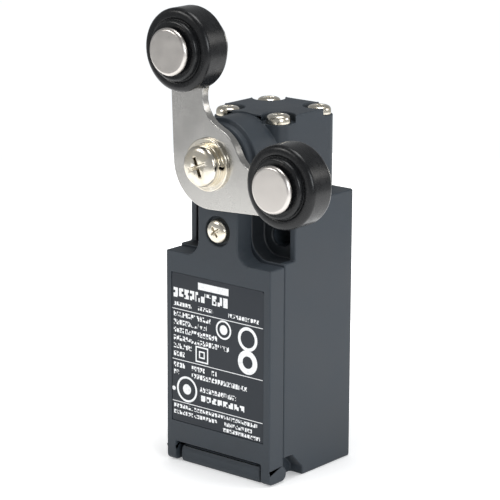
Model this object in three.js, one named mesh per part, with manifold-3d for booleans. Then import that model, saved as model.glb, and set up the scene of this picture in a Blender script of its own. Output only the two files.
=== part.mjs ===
// Limit switch with a fork lever and two rollers, in millimetres.
//
// X runs to the right of someone facing the cover, Y runs back to the mounting face and Z runs up.
// The origin is on the back mounting face, midway between the two mounting holes.
// Most heights are measured up from the base of the case, and most depths back from the front of the
// cover: high(h) and deep(d) turn those into the part's own Z and Y.

import * as THREE from "three";
import { mergeVertices } from "three/addons/utils/BufferGeometryUtils.js";
import Module from "manifold-3d";

const wasm = await Module();
wasm.setup();

// ---------------------------------------------------------------- driving dimensions

// Body envelope: a 30 mm wide body with its fixing holes near the top.
const BODY_WIDTH = 30;
const BODY_DEPTH = 29.4;
const CASE_HEIGHT = 62.5;
const HALF = BODY_WIDTH / 2;
const SIDE_WALL = 2;
const BACK_WALL = 3;
const BASE_WALL = 9.6;
const HOLE_HEIGHT = CASE_HEIGHT - 7.9;
const CAVITY_TOP = CASE_HEIGHT - 15.4;
const CAVITY_HALF = HALF - SIDE_WALL;
const CAVITY_BACK = BODY_DEPTH - BACK_WALL;
const BACK_EDGE_ROUND = 1;
const PAD_PROUD = 0.4;
const UPPER_PAD_START = CASE_HEIGHT - 9.9;
const LOWER_PAD_END = 8.9;

// Fits: what moves runs clear, what is seated nearly touches.
const RUNNING_CLEARANCE = 0.09;
const SEATED_CLEARANCE = 0.05;
const HOLE_CLEARANCE = 0.12;

// Mounting slots and the pockets that take the screw heads.
const SLOT_RADIUS = 2.15;
const SLOT_NEAR = HALF - 5;
const SLOT_FAR = SLOT_NEAR + 0.75;
const POCKET_FLOOR = 9.3;
const POCKET_RIM = 8.5;
const POCKET_ROUND = 4.7;

// Cable entry: the core of a G1/2 thread, drilled at its own distance from the back.
const ENTRY_RADIUS = 9.32;
const ENTRY_DEPTH = BODY_DEPTH - 12.25;

// Cover.
const COVER_DEPTH = 4.9;
const COVER_SKIN = 2;
const SHOULDER_HEIGHT = CASE_HEIGHT - 13.2;
const NECK_HALF = HALF - 9.4;
const NECK_FILLET = 3.6;
const PARTING_GAP = 0.1;
const COVER_SWING_ROOM = 0.3;
const LEDGE_LEAST = 1.2;
const SKIRT_BOTTOM = 4.9;
const RIM_BOTTOM = 7.6;
const LIP_HALF = HALF - 3.5;
const FOOT_INNER = LIP_HALF + 0.9;
const HINGE_DEPTH = 4.4;
const HINGE_HEIGHT = 2;
const KNUCKLE_RADIUS = 1.7;
const TRUNNION_RADIUS = 0.8;
const TRUNNION_LENGTH = 2.2;
const TRUNNION_END_PLAY = 0.6;
const TOE_ROUND = 1.2;
const COVER_SCREW_HEIGHT = CASE_HEIGHT - 6.7;
const COVER_SCREW_PLAY = 0.35;
const COVER_SCREW_REACH = 4.6;
const COUNTERBORE_RADIUS = 3.35;
const COUNTERBORE_DEPTH = 1;
const GASKET_WIDTH = 0.8;
const GASKET_THICKNESS = 0.7;

// Lip of the case between the cover's feet, and the notches beside it.
const LIP_TOP = 4.2;
const LIP_FRONT = 0.9;
const LIP_ROUND = 1;
// How near the skirt's inner edge passes the hinge line; the lip is rounded to stay inside that.
const LIP_SWEEP =
  Math.hypot(HINGE_DEPTH - COVER_SKIN, SKIRT_BOTTOM - HINGE_HEIGHT) - 2 * RUNNING_CLEARANCE;
const NOTCH_DEPTH = 11.7;
const NOTCH_TOP = 5.6;
const NOTCH_LOW = 2;

// Label in its recess.
const LABEL_LEFT = 1.5 - HALF;
const LABEL_RIGHT = HALF - 1.8;
const LABEL_BOTTOM = 9.8;
const LABEL_TOP = SHOULDER_HEIGHT - 4.8;
const LABEL_RECESS = 0.3;
const LABEL_THICKNESS = 0.2;
const LABEL_EDGE_GAP = 0.1;
const LABEL_ROUND = 0.5;

// Head: a square block on top of the case, flush with its back, so its screws can fix it four ways.
const HEAD_WIDTH = 20.4;
const HEAD_ROUND = 3;
const HEAD_CENTRE = BODY_DEPTH - HEAD_WIDTH / 2;
const HEAD_FRONT = BODY_DEPTH - HEAD_WIDTH;
const HEAD_SEAT_HEIGHT = CASE_HEIGHT + 16.5;
const HEAD_TOP_HEIGHT = HEAD_SEAT_HEIGHT + 1.8;
const HEAD_SCREW_PITCH = HEAD_WIDTH * 0.7;
const HEAD_SCALLOP = 4.4;
const HEAD_CAVITY_RADIUS = HEAD_WIDTH / 2 - 2.8;
const HEAD_GASKET_RADIUS = HEAD_CAVITY_RADIUS + 0.1;
const HEAD_CAVITY_TOP = HEAD_TOP_HEIGHT - 4.7;
const BOSS_RADIUS = 9.5;
const BOSS_FRONT = 0.2;
const BOSS_CHAMFER = 0.8;

// Shaft and cam.
const PIVOT_HEIGHT = CASE_HEIGHT + 8.72;
const SHAFT_RADIUS = 3.5;
const SHAFT_COLLAR_RADIUS = SHAFT_RADIUS + 1.9;
const CAM_SEAT_RADIUS = SHAFT_RADIUS - 0.5;
const REAR_JOURNAL_RADIUS = SHAFT_RADIUS - 1.1;
const BUSH_RADIUS = SHAFT_RADIUS + 1.5;
const SHAFT_END_PLAY = 0.1;
const REAR_WALL = 1;
const SEAL_DEPTH = 1.5;
const SEAL_INSET = 0.6;
const CAM_BASE_RADIUS = CAM_SEAT_RADIUS + 0.9;
const CAM_LIFT = 2;
const CAM_OVERRUN = 12;
const CAM_GAP = 0.3;
const CAM_SWEEP = CAM_BASE_RADIUS + CAM_LIFT + 0.45;

// The corners of the cam turn clear of the round cavity, which sets how wide the cam can be.
const CAM_HALF = Math.sqrt(HEAD_CAVITY_RADIUS ** 2 - CAM_SWEEP ** 2);
const CAM_FRONT = HEAD_CENTRE - CAM_HALF;
const CAM_BACK = HEAD_CENTRE + CAM_HALF;

// Lever and rollers.
const LEVER_SWING = 84.5;
const FORK_SPREAD = 96;
const ARM_LENGTH = 25.6;
const LEVER_THICKNESS = 2;
const LEVER_GAP = 1;
const LEVER_PIVOT_OUTER = 10;
const LEVER_PIVOT_INNER = 8.8;
const LEVER_SHOULDER_REACH = ARM_LENGTH - 8.1;
const LEVER_SHOULDER_RADIUS = 8.9;
const LEVER_END_RADIUS = 6.5;
const LEVER_FILLET = 6.7;
const ROLLER_RADIUS = 9;
const ROLLER_WIDTH = 7;
const ROLLER_EDGE = 0.8;
const ROLLER_STANDOFF = 0.6;
const ROLLER_HUB_RADIUS = ROLLER_RADIUS - 2.55;
const ROLLER_HUB_PROUD = 1.15;
const ROLLER_HUB_CHAMFER = 0.4;
const ROLLER_BACK_GAP = 0.2;
const PIN_RADIUS = 2.5;
const PIN_TAIL_RADIUS = 2;
const PIN_HEAD_RADIUS = 5.1;
const PIN_HEAD_THICKNESS = 1.1;
const PIN_HEAD_CHAMFER = 0.5;
const PIN_HEAD_GAP = 0.7;
const WASHER_RADIUS = 5.85;
const WASHER_THICKNESS = 0.8;
const SPRING_WASHER_RADIUS = 4.8;
const SPRING_WASHER_THICKNESS = 0.9;
const SPRING_WASHER_SPLIT = 0.6;

// Fasteners: shank radius, head radius and head height.
const M3 = { shank: 1.5, head: 2.7, height: 2 };
const M35 = { shank: 1.6, head: 2.9, height: 2 };
const M5 = { shank: 2.4, head: 4.5, height: 2.1 };
const SCREW_TIP_ROOM = 0.3;
const LEVER_SCREW_TIP = 7;

// Plunger, locking plunger and return spring in the head.
const PLUNGER_RADIUS = 2;
const PLUNGER_STEM = 1.6;
const PLUNGER_FLANGE = 3.4;
const FLANGE_BOTTOM = CASE_HEIGHT - 1.6;
const FLANGE_THICKNESS = 1.2;
const SPRING_BORE = 3.7;
const SPRING_BORE_FLOOR = CASE_HEIGHT - 9.9;
const SPRING_END_GAP = 0.05;
const LOCK_RADIUS = 2.3;
const LOCK_BORE_TOP = HEAD_TOP_HEIGHT - 1;
const LOCK_SPRING_ROOM = 2.2;

// Switch block: a bought-in block of fixed size, hung from the top of the cavity under the plunger.
const BLOCK_HALF = CAVITY_HALF - 0.5;
const BLOCK_FRONT = HEAD_CENTRE - 9.7;
const BLOCK_BACK = CAVITY_BACK - 0.2;
const BLOCK_TOP = CAVITY_TOP - 0.3;
const BLOCK_BOTTOM = BLOCK_TOP - 27.2;
const BLOCK_FLOOR = BLOCK_BOTTOM + 1.5;
const BLOCK_SCREW_SEAT = BLOCK_FRONT + 4.5;
const BLOCK_SCREW_HEIGHT = (BLOCK_TOP + BLOCK_BOTTOM + 0.4) / 2;
const CHAMBER_HALF = 5.2;
const CHAMBER_BACK = HEAD_CENTRE + 4.2;
const LID_THICKNESS = 1.2;
const LID_OVERLAP = 0.6;
const TERMINAL_X = BLOCK_HALF - 3.3;
const UPPER_TERMINAL = BLOCK_TOP - 6.2;
const LOWER_TERMINAL = BLOCK_BOTTOM + 6.6;
const TERMINAL_HALF = 3.5;
const TERMINAL_DEPTH = BLOCK_FRONT + 2.2;
const TERMINAL_PLATE = 0.8;
const CONTACT_DEPTH = HEAD_CENTRE - 3.7;
const CONTACT_X = 3.9;
const CONTACT_RADIUS = 1;
const CONTACT_HEIGHT = 0.5;
const TONGUE_HALF = 1.8;
const BRIDGE_HALF = 4.9;
const BRIDGE_DEPTH = 3.2;
const BRIDGE_THICKNESS = 0.7;
const BRIDGE_SPRING = 3.2;
const CONTACT_GAP = 0.1;
const CLAMP_HALF = 3.1;
const CLAMP_PROUD = 1;

// Contact carrier, which the plunger pushes down.
const CARRIER_TOP = CAVITY_TOP - 0.8;
const CARRIER_BOTTOM = LOWER_TERMINAL + 1.4;
const CARRIER_HALF = 1.8;
const CARRIER_FRONT = HEAD_CENTRE - 6.7;
const CARRIER_BACK = HEAD_CENTRE + 3.3;

// ---------------------------------------------------------------- frame and solids

const high = (h) => h - HOLE_HEIGHT;
const deep = (d) => d - BODY_DEPTH;

// Matrices that stand a flat outline up: drawn in X and Z and thickened along Y, or drawn in Y and Z
// and thickened along X.
const FRONT_VIEW = new THREE.Matrix4().makeBasis(
  new THREE.Vector3(1, 0, 0),
  new THREE.Vector3(0, 0, 1),
  new THREE.Vector3(0, -1, 0),
);
const SIDE_VIEW = new THREE.Matrix4().makeBasis(
  new THREE.Vector3(0, 1, 0),
  new THREE.Vector3(0, 0, 1),
  new THREE.Vector3(1, 0, 0),
);

// Turns a closed three.js geometry into a manifold solid with its faces outwards.
function solidOf(geometry) {
  const bare = geometry.index ? geometry.toNonIndexed() : geometry.clone();
  bare.deleteAttribute("normal");
  bare.deleteAttribute("uv");
  const merged = mergeVertices(bare, 1e-4);
  const corners = merged.index.array;
  const triangles = [];
  for (let i = 0; i < corners.length; i += 3) {
    const [a, b, c] = [corners[i], corners[i + 1], corners[i + 2]];
    if (a !== b && b !== c && c !== a) triangles.push(a, b, c);
  }
  const make = (order) =>
    new wasm.Manifold(
      new wasm.Mesh({
        numProp: 3,
        vertProperties: merged.attributes.position.array,
        triVerts: new Uint32Array(order),
      }),
    );
  const solid = make(triangles);
  return solid.volume() > 0 ? solid : make(triangles.reverse());
}

// A block between two X values, two depths and two heights.
function block(x0, x1, d0, d1, h0, h1) {
  const geometry = new THREE.BoxGeometry(x1 - x0, d1 - d0, h1 - h0);
  geometry.translate((x0 + x1) / 2, deep((d0 + d1) / 2), high((h0 + h1) / 2));
  return solidOf(geometry);
}

// An outline in X and height, thickened between two depths.
function plate(shape, d0, d1) {
  const geometry = new THREE.ExtrudeGeometry(shape, {
    depth: d1 - d0,
    bevelEnabled: false,
  });
  geometry.applyMatrix4(FRONT_VIEW);
  geometry.translate(0, deep(d1), high(0));
  return solidOf(geometry);
}

// An outline in depth and height, thickened between two X values.
function section(shape, x0, x1) {
  const geometry = new THREE.ExtrudeGeometry(shape, {
    depth: x1 - x0,
    bevelEnabled: false,
  });
  geometry.applyMatrix4(SIDE_VIEW);
  geometry.translate(x0, deep(0), high(0));
  return solidOf(geometry);
}

// An outline in X and depth, thickened between two heights.
function slab(shape, h0, h1) {
  const geometry = new THREE.ExtrudeGeometry(shape, {
    depth: h1 - h0,
    bevelEnabled: false,
  });
  geometry.translate(0, deep(0), high(h0));
  return solidOf(geometry);
}

// A turned piece on an axis along Y: each profile point is a radius and a depth.
function turnedAcross(profile, x, h, sides = 24) {
  const points = profile.map(([r, d]) => new THREE.Vector2(r, deep(d)));
  const geometry = new THREE.LatheGeometry(points, sides);
  geometry.translate(x, 0, high(h));
  return solidOf(geometry);
}

// A turned piece on an upright axis: each profile point is a radius and a height.
function turnedUp(profile, x, d, sides = 20) {
  const points = profile.map(([r, h]) => new THREE.Vector2(r, high(h)));
  const geometry = new THREE.LatheGeometry(points, sides);
  geometry.rotateX(Math.PI / 2);
  geometry.translate(x, deep(d), 0);
  return solidOf(geometry);
}

function rodAcross(radius, x, h, d0, d1, sides = 16) {
  const profile = [
    [0, d0],
    [radius, d0],
    [radius, d1],
    [0, d1],
  ];
  return turnedAcross(profile, x, h, sides);
}

function rodUp(radius, x, d, h0, h1, sides = 16) {
  const profile = [
    [0, h0],
    [radius, h0],
    [radius, h1],
    [0, h1],
  ];
  return turnedUp(profile, x, d, sides);
}

function rodSideways(radius, d, h, x0, x1, sides = 12) {
  const geometry = new THREE.CylinderGeometry(radius, radius, x1 - x0, sides);
  geometry.rotateZ(Math.PI / 2);
  geometry.translate((x0 + x1) / 2, deep(d), high(h));
  return solidOf(geometry);
}

const join = (...solids) => solids.reduce((whole, next) => whole.add(next));
const cut = (whole, ...tools) => tools.reduce((rest, tool) => rest.subtract(tool), whole);

// Points along an arc, in degrees, from one angle to the other.
function arc(x, y, radius, from, to, steps = 8) {
  return Array.from({ length: steps + 1 }, (_, i) => {
    const angle = THREE.MathUtils.degToRad(from + ((to - from) * i) / steps);
    return new THREE.Vector2(x + radius * Math.cos(angle), y + radius * Math.sin(angle));
  });
}

const outline = (...points) => new THREE.Shape(points.flat());
const at = (x, y) => new THREE.Vector2(x, y);

function roundedRectangle(x0, x1, y0, y1, radius, steps = 5) {
  return outline(
    arc(x1 - radius, y0 + radius, radius, -90, 0, steps),
    arc(x1 - radius, y1 - radius, radius, 0, 90, steps),
    arc(x0 + radius, y1 - radius, radius, 90, 180, steps),
    arc(x0 + radius, y0 + radius, radius, 180, 270, steps),
  );
}

// A coil spring standing on an upright axis, as one closed tube.
function coil(radius, wire, x, d, h0, h1, turns) {
  const stepsPerTurn = 8;
  const low = h0 + wire;
  const rise = h1 - h0 - 2 * wire;
  const points = Array.from({ length: turns * stepsPerTurn + 1 }, (_, i) => {
    const angle = (2 * Math.PI * i) / stepsPerTurn;
    const height = high(low + (rise * i) / (turns * stepsPerTurn));
    return new THREE.Vector3(x + radius * Math.cos(angle), deep(d) + radius * Math.sin(angle), height);
  });
  const ring = new THREE.Shape(arc(0, 0, wire, 0, 360, 5).slice(0, -1));
  const geometry = new THREE.ExtrudeGeometry(ring, {
    steps: turns * stepsPerTurn,
    bevelEnabled: false,
    extrudePath: new THREE.CatmullRomCurve3(points),
  });
  return solidOf(geometry);
}

// The cross recess of a screw head whose top lies at depth d, cut along Y.
function crossAcross(x, h, d, reach) {
  const half = reach / 5;
  return join(
    block(x - reach, x + reach, d - 1, d + reach * 0.6, h - half, h + half),
    block(x - half, x + half, d - 1, d + reach * 0.6, h - reach, h + reach),
  );
}

// The same recess in an upright screw whose head ends at height h.
function crossUp(x, d, h, reach) {
  const half = reach / 5;
  return join(
    block(x - reach, x + reach, d - half, d + half, h - reach * 0.6, h + 1),
    block(x - half, x + half, d - reach, d + reach, h - reach * 0.6, h + 1),
  );
}

// A pan-head screw along Y with the underside of its head at depth seat.
function screwAcross(size, x, h, seat, tip) {
  const front = seat - size.height;
  const body = turnedAcross(
    [
      [0, front],
      [size.head * 0.72, front + size.height * 0.1],
      [size.head, front + size.height * 0.5],
      [size.head, seat],
      [size.shank, seat],
      [size.shank, tip],
      [0, tip],
    ],
    x,
    h,
    12,
  );
  return cut(body, crossAcross(x, h, front, size.head * 0.55));
}

// A pan-head screw standing upright with the underside of its head at height seat.
function screwUp(size, x, d, seat, tip) {
  const top = seat + size.height;
  const body = turnedUp(
    [
      [0, tip],
      [size.shank, tip],
      [size.shank, seat],
      [size.head, seat],
      [size.head, top - size.height * 0.5],
      [size.head * 0.72, top - size.height * 0.1],
      [0, top],
    ],
    x,
    d,
    12,
  );
  return cut(body, crossUp(x, d, top, size.head * 0.55));
}

// ---------------------------------------------------------------- materials and the group

const FINISHES = {
  shell: { color: 0x3a3d42, roughness: 0.55, metalness: 0 },
  label: { color: 0x2a2c30, roughness: 0.6, metalness: 0 },
  seal: { color: 0x17181a, roughness: 0.85, metalness: 0 },
  stainless: { color: 0xb9b5ae, roughness: 0.25, metalness: 1 },
  pin: { color: 0xcdc7c0, roughness: 0.35, metalness: 1 },
  zinc: { color: 0xd8d4c8, roughness: 0.3, metalness: 1 },
  resin: { color: 0x1b1c1e, roughness: 0.35, metalness: 0 },
  steel: { color: 0x8c8f94, roughness: 0.4, metalness: 1 },
  bronze: { color: 0xa5804c, roughness: 0.45, metalness: 1 },
  brass: { color: 0xc2a25a, roughness: 0.35, metalness: 1 },
  silver: { color: 0xd9d9d6, roughness: 0.3, metalness: 1 },
  carrier: { color: 0xd8d2c0, roughness: 0.5, metalness: 0 },
  moulding: { color: 0x6a6e74, roughness: 0.5, metalness: 0 },
};

const limitSwitch = new THREE.Group();

function addNode(name, solid, finish) {
  const mesh = solid.getMesh();
  const geometry = new THREE.BufferGeometry();
  geometry.setAttribute("position", new THREE.BufferAttribute(mesh.vertProperties, mesh.numProp));
  geometry.setIndex(new THREE.BufferAttribute(mesh.triVerts, 1));
  geometry.computeVertexNormals();
  const node = new THREE.Mesh(geometry, new THREE.MeshStandardMaterial(FINISHES[finish]));
  node.name = name;
  limitSwitch.add(node);
}

// ---------------------------------------------------------------- places worked out from the sizes

const SLOT_MIDDLE = (SLOT_NEAR + SLOT_FAR) / 2;
const COVER_SCREW_TIP = COVER_DEPTH + COVER_SCREW_REACH;

// The head screws end above the mounting slots they stand over.
const HEAD_SCREW_TIP = HOLE_HEIGHT + SLOT_RADIUS + 1.2;
const HEAD_SCREWS = [-1, 1].flatMap((side) =>
  [-1, 1].map((row) => ({
    x: (side * HEAD_SCREW_PITCH) / 2,
    d: HEAD_CENTRE + (row * HEAD_SCREW_PITCH) / 2,
    name: `head_screw_${row < 0 ? "front" : "rear"}_${side < 0 ? "left" : "right"}`,
  })),
);

// Along the shaft, from the lever back to the bush.
const LEVER_BACK = -LEVER_GAP;
const LEVER_FRONT = LEVER_BACK - LEVER_THICKNESS;
const WASHER_FRONT = LEVER_FRONT - WASHER_THICKNESS;
const SPRING_WASHER_FRONT = WASHER_FRONT - SPRING_WASHER_THICKNESS;
const SEAL_START = BOSS_FRONT + SEAL_INSET;
const BUSH_START = SEAL_START + SEAL_DEPTH + 0.2;
const BUSH_END = HEAD_CENTRE - HEAD_CAVITY_RADIUS + 0.4;

// Along a roller pin, from the lever forwards.
const ROLLER_BACK = LEVER_FRONT - ROLLER_STANDOFF;
const ROLLER_FRONT = ROLLER_BACK - ROLLER_WIDTH;
const HUB_FRONT = ROLLER_FRONT - ROLLER_HUB_PROUD;
const HUB_BACK = LEVER_FRONT - ROLLER_BACK_GAP;
const PIN_HEAD_BACK = HUB_FRONT - PIN_HEAD_GAP;
const PIN_FRONT = PIN_HEAD_BACK - PIN_HEAD_THICKNESS;

// The cover's neck stops under a fixed ledge of the case, low enough to swing out below the lever.
const NECK_TOP = Math.min(
  CASE_HEIGHT - LEDGE_LEAST,
  PIVOT_HEIGHT - LEVER_PIVOT_OUTER - COVER_SWING_ROOM,
);

// The two arms of the fork: the upper one at rest leans left, the other points to the side.
const LEVER_TILT = 90 - LEVER_SWING / 2;
const ARM_ANGLES = [LEVER_TILT + FORK_SPREAD / 2, LEVER_TILT - FORK_SPREAD / 2];

// Up the middle of the head, from the carrier to the locking spring.
const STEM_BOTTOM = CARRIER_TOP + CONTACT_GAP;
const PLUNGER_TIP = PIVOT_HEIGHT - CAM_BASE_RADIUS - CAM_GAP;
const LOCK_TIP = PIVOT_HEIGHT + CAM_BASE_RADIUS + CAM_GAP;
const LOCK_TOP = LOCK_BORE_TOP - LOCK_SPRING_ROOM;

// ---------------------------------------------------------------- case and cover

// Everything in front of the mounting pockets, on one side, above the arc round the mounting slot.
function pocketOutline(side, outer) {
  const top = CASE_HEIGHT + 1;
  const low = HOLE_HEIGHT - POCKET_ROUND;
  const middle = NECK_HALF + POCKET_ROUND;
  const points = [
    at(outer, low),
    at(outer, top),
    at(NECK_HALF, top),
    ...arc(middle, HOLE_HEIGHT, POCKET_ROUND, 180, 270),
  ];
  return outline(points.map((p) => at(side * p.x, p.y)));
}

function slotOutline(side) {
  return outline(
    arc(side * SLOT_MIDDLE + (SLOT_FAR - SLOT_NEAR) / 2, HOLE_HEIGHT, SLOT_RADIUS, -90, 90),
    arc(side * SLOT_MIDDLE - (SLOT_FAR - SLOT_NEAR) / 2, HOLE_HEIGHT, SLOT_RADIUS, 90, 270),
  );
}

function makeCase() {
  const front = COVER_DEPTH + PARTING_GAP;
  const plan = outline(
    at(-HALF, front),
    at(HALF, front),
    arc(HALF - BACK_EDGE_ROUND, BODY_DEPTH - BACK_EDGE_ROUND, BACK_EDGE_ROUND, 0, 90, 4),
    arc(BACK_EDGE_ROUND - HALF, BODY_DEPTH - BACK_EDGE_ROUND, BACK_EDGE_ROUND, 90, 180, 4),
  );
  const lip = outline(
    at(-LIP_HALF, 0),
    at(LIP_HALF, 0),
    arc(LIP_HALF - LIP_ROUND, LIP_TOP - LIP_ROUND, LIP_ROUND, 0, 90, 4),
    arc(LIP_ROUND - LIP_HALF, LIP_TOP - LIP_ROUND, LIP_ROUND, 90, 180, 4),
  );
  const beyondSweep = cut(
    block(-HALF, HALF, 0, HINGE_DEPTH, -1, LIP_TOP + 1),
    rodSideways(LIP_SWEEP, HINGE_DEPTH, HINGE_HEIGHT, -HALF - 1, HALF + 1, 48),
  );
  const body = join(
    slab(plan, 0, CASE_HEIGHT),
    cut(plate(lip, LIP_FRONT, front + 1), beyondSweep),
    block(-NECK_HALF, NECK_HALF, 0, front + 1, NECK_TOP + PARTING_GAP, CASE_HEIGHT),
  );
  const wide = HALF + 1;
  const cavity = block(-CAVITY_HALF, CAVITY_HALF, 0, CAVITY_BACK, BASE_WALL, CAVITY_TOP);
  const backRelief = block(
    -wide,
    wide,
    BODY_DEPTH - PAD_PROUD,
    BODY_DEPTH + 1,
    LOWER_PAD_END,
    UPPER_PAD_START,
  );
  const entry = rodUp(ENTRY_RADIUS, 0, ENTRY_DEPTH, -1, BASE_WALL + 1, 32);
  const springBore = rodUp(SPRING_BORE, 0, HEAD_CENTRE, SPRING_BORE_FLOOR, CASE_HEIGHT + 1);
  const stemRadius = PLUNGER_STEM + HOLE_CLEARANCE;
  const stemBore = rodUp(stemRadius, 0, HEAD_CENTRE, CAVITY_TOP - 1, SPRING_BORE_FLOOR + 1);
  const coverThread = rodAcross(
    M3.shank + COVER_SCREW_PLAY,
    0,
    COVER_SCREW_HEIGHT,
    0,
    COVER_SCREW_TIP + SCREW_TIP_ROOM,
  );
  const notch = outline(
    at(0, -2),
    at(NOTCH_DEPTH, -2),
    at(NOTCH_DEPTH, NOTCH_LOW),
    at(front, NOTCH_TOP),
    at(0, NOTCH_TOP),
  );
  const threads = HEAD_SCREWS.map(({ x, d }) =>
    rodUp(M3.shank + HOLE_CLEARANCE, x, d, HEAD_SCREW_TIP - SCREW_TIP_ROOM, CASE_HEIGHT + 1, 12),
  );
  const sides = [-1, 1].flatMap((side) => {
    const inner = side < 0 ? -wide : LIP_HALF;
    const blind = side * (FOOT_INNER - TRUNNION_LENGTH - SCREW_TIP_ROOM);
    const outer = side * (LIP_HALF + TRUNNION_END_PLAY);
    return [
      plate(pocketOutline(side, wide), 0, POCKET_RIM),
      plate(pocketOutline(side, CAVITY_HALF), 0, POCKET_FLOOR),
      plate(slotOutline(side), 0, BODY_DEPTH + 1),
      section(notch, inner, inner + wide - LIP_HALF),
      rodSideways(
        TRUNNION_RADIUS + RUNNING_CLEARANCE,
        HINGE_DEPTH,
        HINGE_HEIGHT,
        Math.min(blind, outer),
        Math.max(blind, outer),
      ),
      rodAcross(
        M3.shank + HOLE_CLEARANCE,
        side * TERMINAL_X,
        BLOCK_SCREW_HEIGHT,
        CAVITY_BACK - 1,
        CAVITY_BACK + 2,
        12,
      ),
    ];
  });
  return cut(body, cavity, backRelief, entry, springBore, stemBore, coverThread, ...threads, ...sides);
}

// Front view of the cover without its feet: skirt, shoulders and neck.
function coverOutline() {
  const edge = NECK_HALF + NECK_FILLET;
  const fillet = SHOULDER_HEIGHT + NECK_FILLET;
  return outline(
    at(-HALF, SKIRT_BOTTOM),
    at(HALF, SKIRT_BOTTOM),
    at(HALF, SHOULDER_HEIGHT),
    arc(edge, fillet, NECK_FILLET, 270, 180, 6),
    at(NECK_HALF, NECK_TOP),
    at(-NECK_HALF, NECK_TOP),
    arc(-edge, fillet, NECK_FILLET, 0, -90, 6),
    at(-HALF, SHOULDER_HEIGHT),
  );
}

// Side view of a foot, with the round knuckle that the cover turns on.
function footOutline() {
  const bottom = HINGE_HEIGHT - KNUCKLE_RADIUS;
  return outline(
    at(0, SKIRT_BOTTOM + 0.5),
    arc(TOE_ROUND, bottom + TOE_ROUND, TOE_ROUND, 180, 270, 4),
    arc(HINGE_DEPTH, HINGE_HEIGHT, KNUCKLE_RADIUS, 270, 380, 8),
    at(COVER_DEPTH, NOTCH_TOP - 0.6),
    at(COVER_DEPTH, SKIRT_BOTTOM + 0.5),
  );
}

function gasketRing(clearance, d0, d1) {
  const half = GASKET_WIDTH / 2 + clearance;
  const middle = HALF - SIDE_WALL / 2;
  const low = (RIM_BOTTOM + BASE_WALL) / 2;
  const top = (CAVITY_TOP + SHOULDER_HEIGHT) / 2;
  return cut(
    block(-middle - half, middle + half, d0, d1, low - half, top + half),
    block(half - middle, middle - half, d0 - 1, d1 + 1, low + half, top - half),
  );
}

function makeCover() {
  const feet = [-1, 1].map((side) => {
    const x = side < 0 ? -HALF : FOOT_INNER;
    return section(footOutline(), x, x + HALF - FOOT_INNER);
  });
  const trunnions = [-1, 1].map((side) => {
    const x = side < 0 ? -FOOT_INNER - 0.5 : FOOT_INNER - TRUNNION_LENGTH;
    return rodSideways(TRUNNION_RADIUS, HINGE_DEPTH, HINGE_HEIGHT, x, x + TRUNNION_LENGTH + 0.5);
  });
  const body = join(plate(coverOutline(), 0, COVER_DEPTH), ...feet, ...trunnions);
  const inside = COVER_DEPTH + 1;
  return cut(
    body,
    block(-CAVITY_HALF, CAVITY_HALF, COVER_SKIN, inside, BASE_WALL, CAVITY_TOP),
    block(-FOOT_INNER, FOOT_INNER, COVER_SKIN, inside, SKIRT_BOTTOM - 0.5, RIM_BOTTOM),
    rodAcross(COUNTERBORE_RADIUS, 0, COVER_SCREW_HEIGHT, -1, COUNTERBORE_DEPTH),
    rodAcross(M3.shank + HOLE_CLEARANCE, 0, COVER_SCREW_HEIGHT, 0, inside),
    block(LABEL_LEFT, LABEL_RIGHT, -1, LABEL_RECESS, LABEL_BOTTOM, LABEL_TOP),
    gasketRing(SEATED_CLEARANCE, COVER_DEPTH - GASKET_THICKNESS, inside),
  );
}

function makeLabel() {
  const gap = LABEL_EDGE_GAP;
  const sheet = roundedRectangle(
    LABEL_LEFT + gap,
    LABEL_RIGHT - gap,
    LABEL_BOTTOM + gap,
    LABEL_TOP - gap,
    LABEL_ROUND,
    3,
  );
  return plate(sheet, LABEL_RECESS - LABEL_THICKNESS, LABEL_RECESS);
}

addNode("case", makeCase(), "shell");
addNode("cover", makeCover(), "shell");
addNode(
  "cover_gasket",
  gasketRing(0, COVER_DEPTH - GASKET_THICKNESS + SEATED_CLEARANCE, COVER_DEPTH),
  "seal",
);
addNode(
  "cover_screw",
  screwAcross(M3, 0, COVER_SCREW_HEIGHT, COUNTERBORE_DEPTH, COVER_SCREW_TIP),
  "zinc",
);
addNode("rating_label", makeLabel(), "label");

// ---------------------------------------------------------------- head

function headGasketRing(clearance, h0, h1) {
  const inner = HEAD_GASKET_RADIUS - clearance;
  const outer = HEAD_GASKET_RADIUS + GASKET_WIDTH + clearance;
  return turnedUp(
    [
      [inner, h0],
      [outer, h0],
      [outer, h1],
      [inner, h1],
      [inner, h0],
    ],
    0,
    HEAD_CENTRE,
    28,
  );
}

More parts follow.
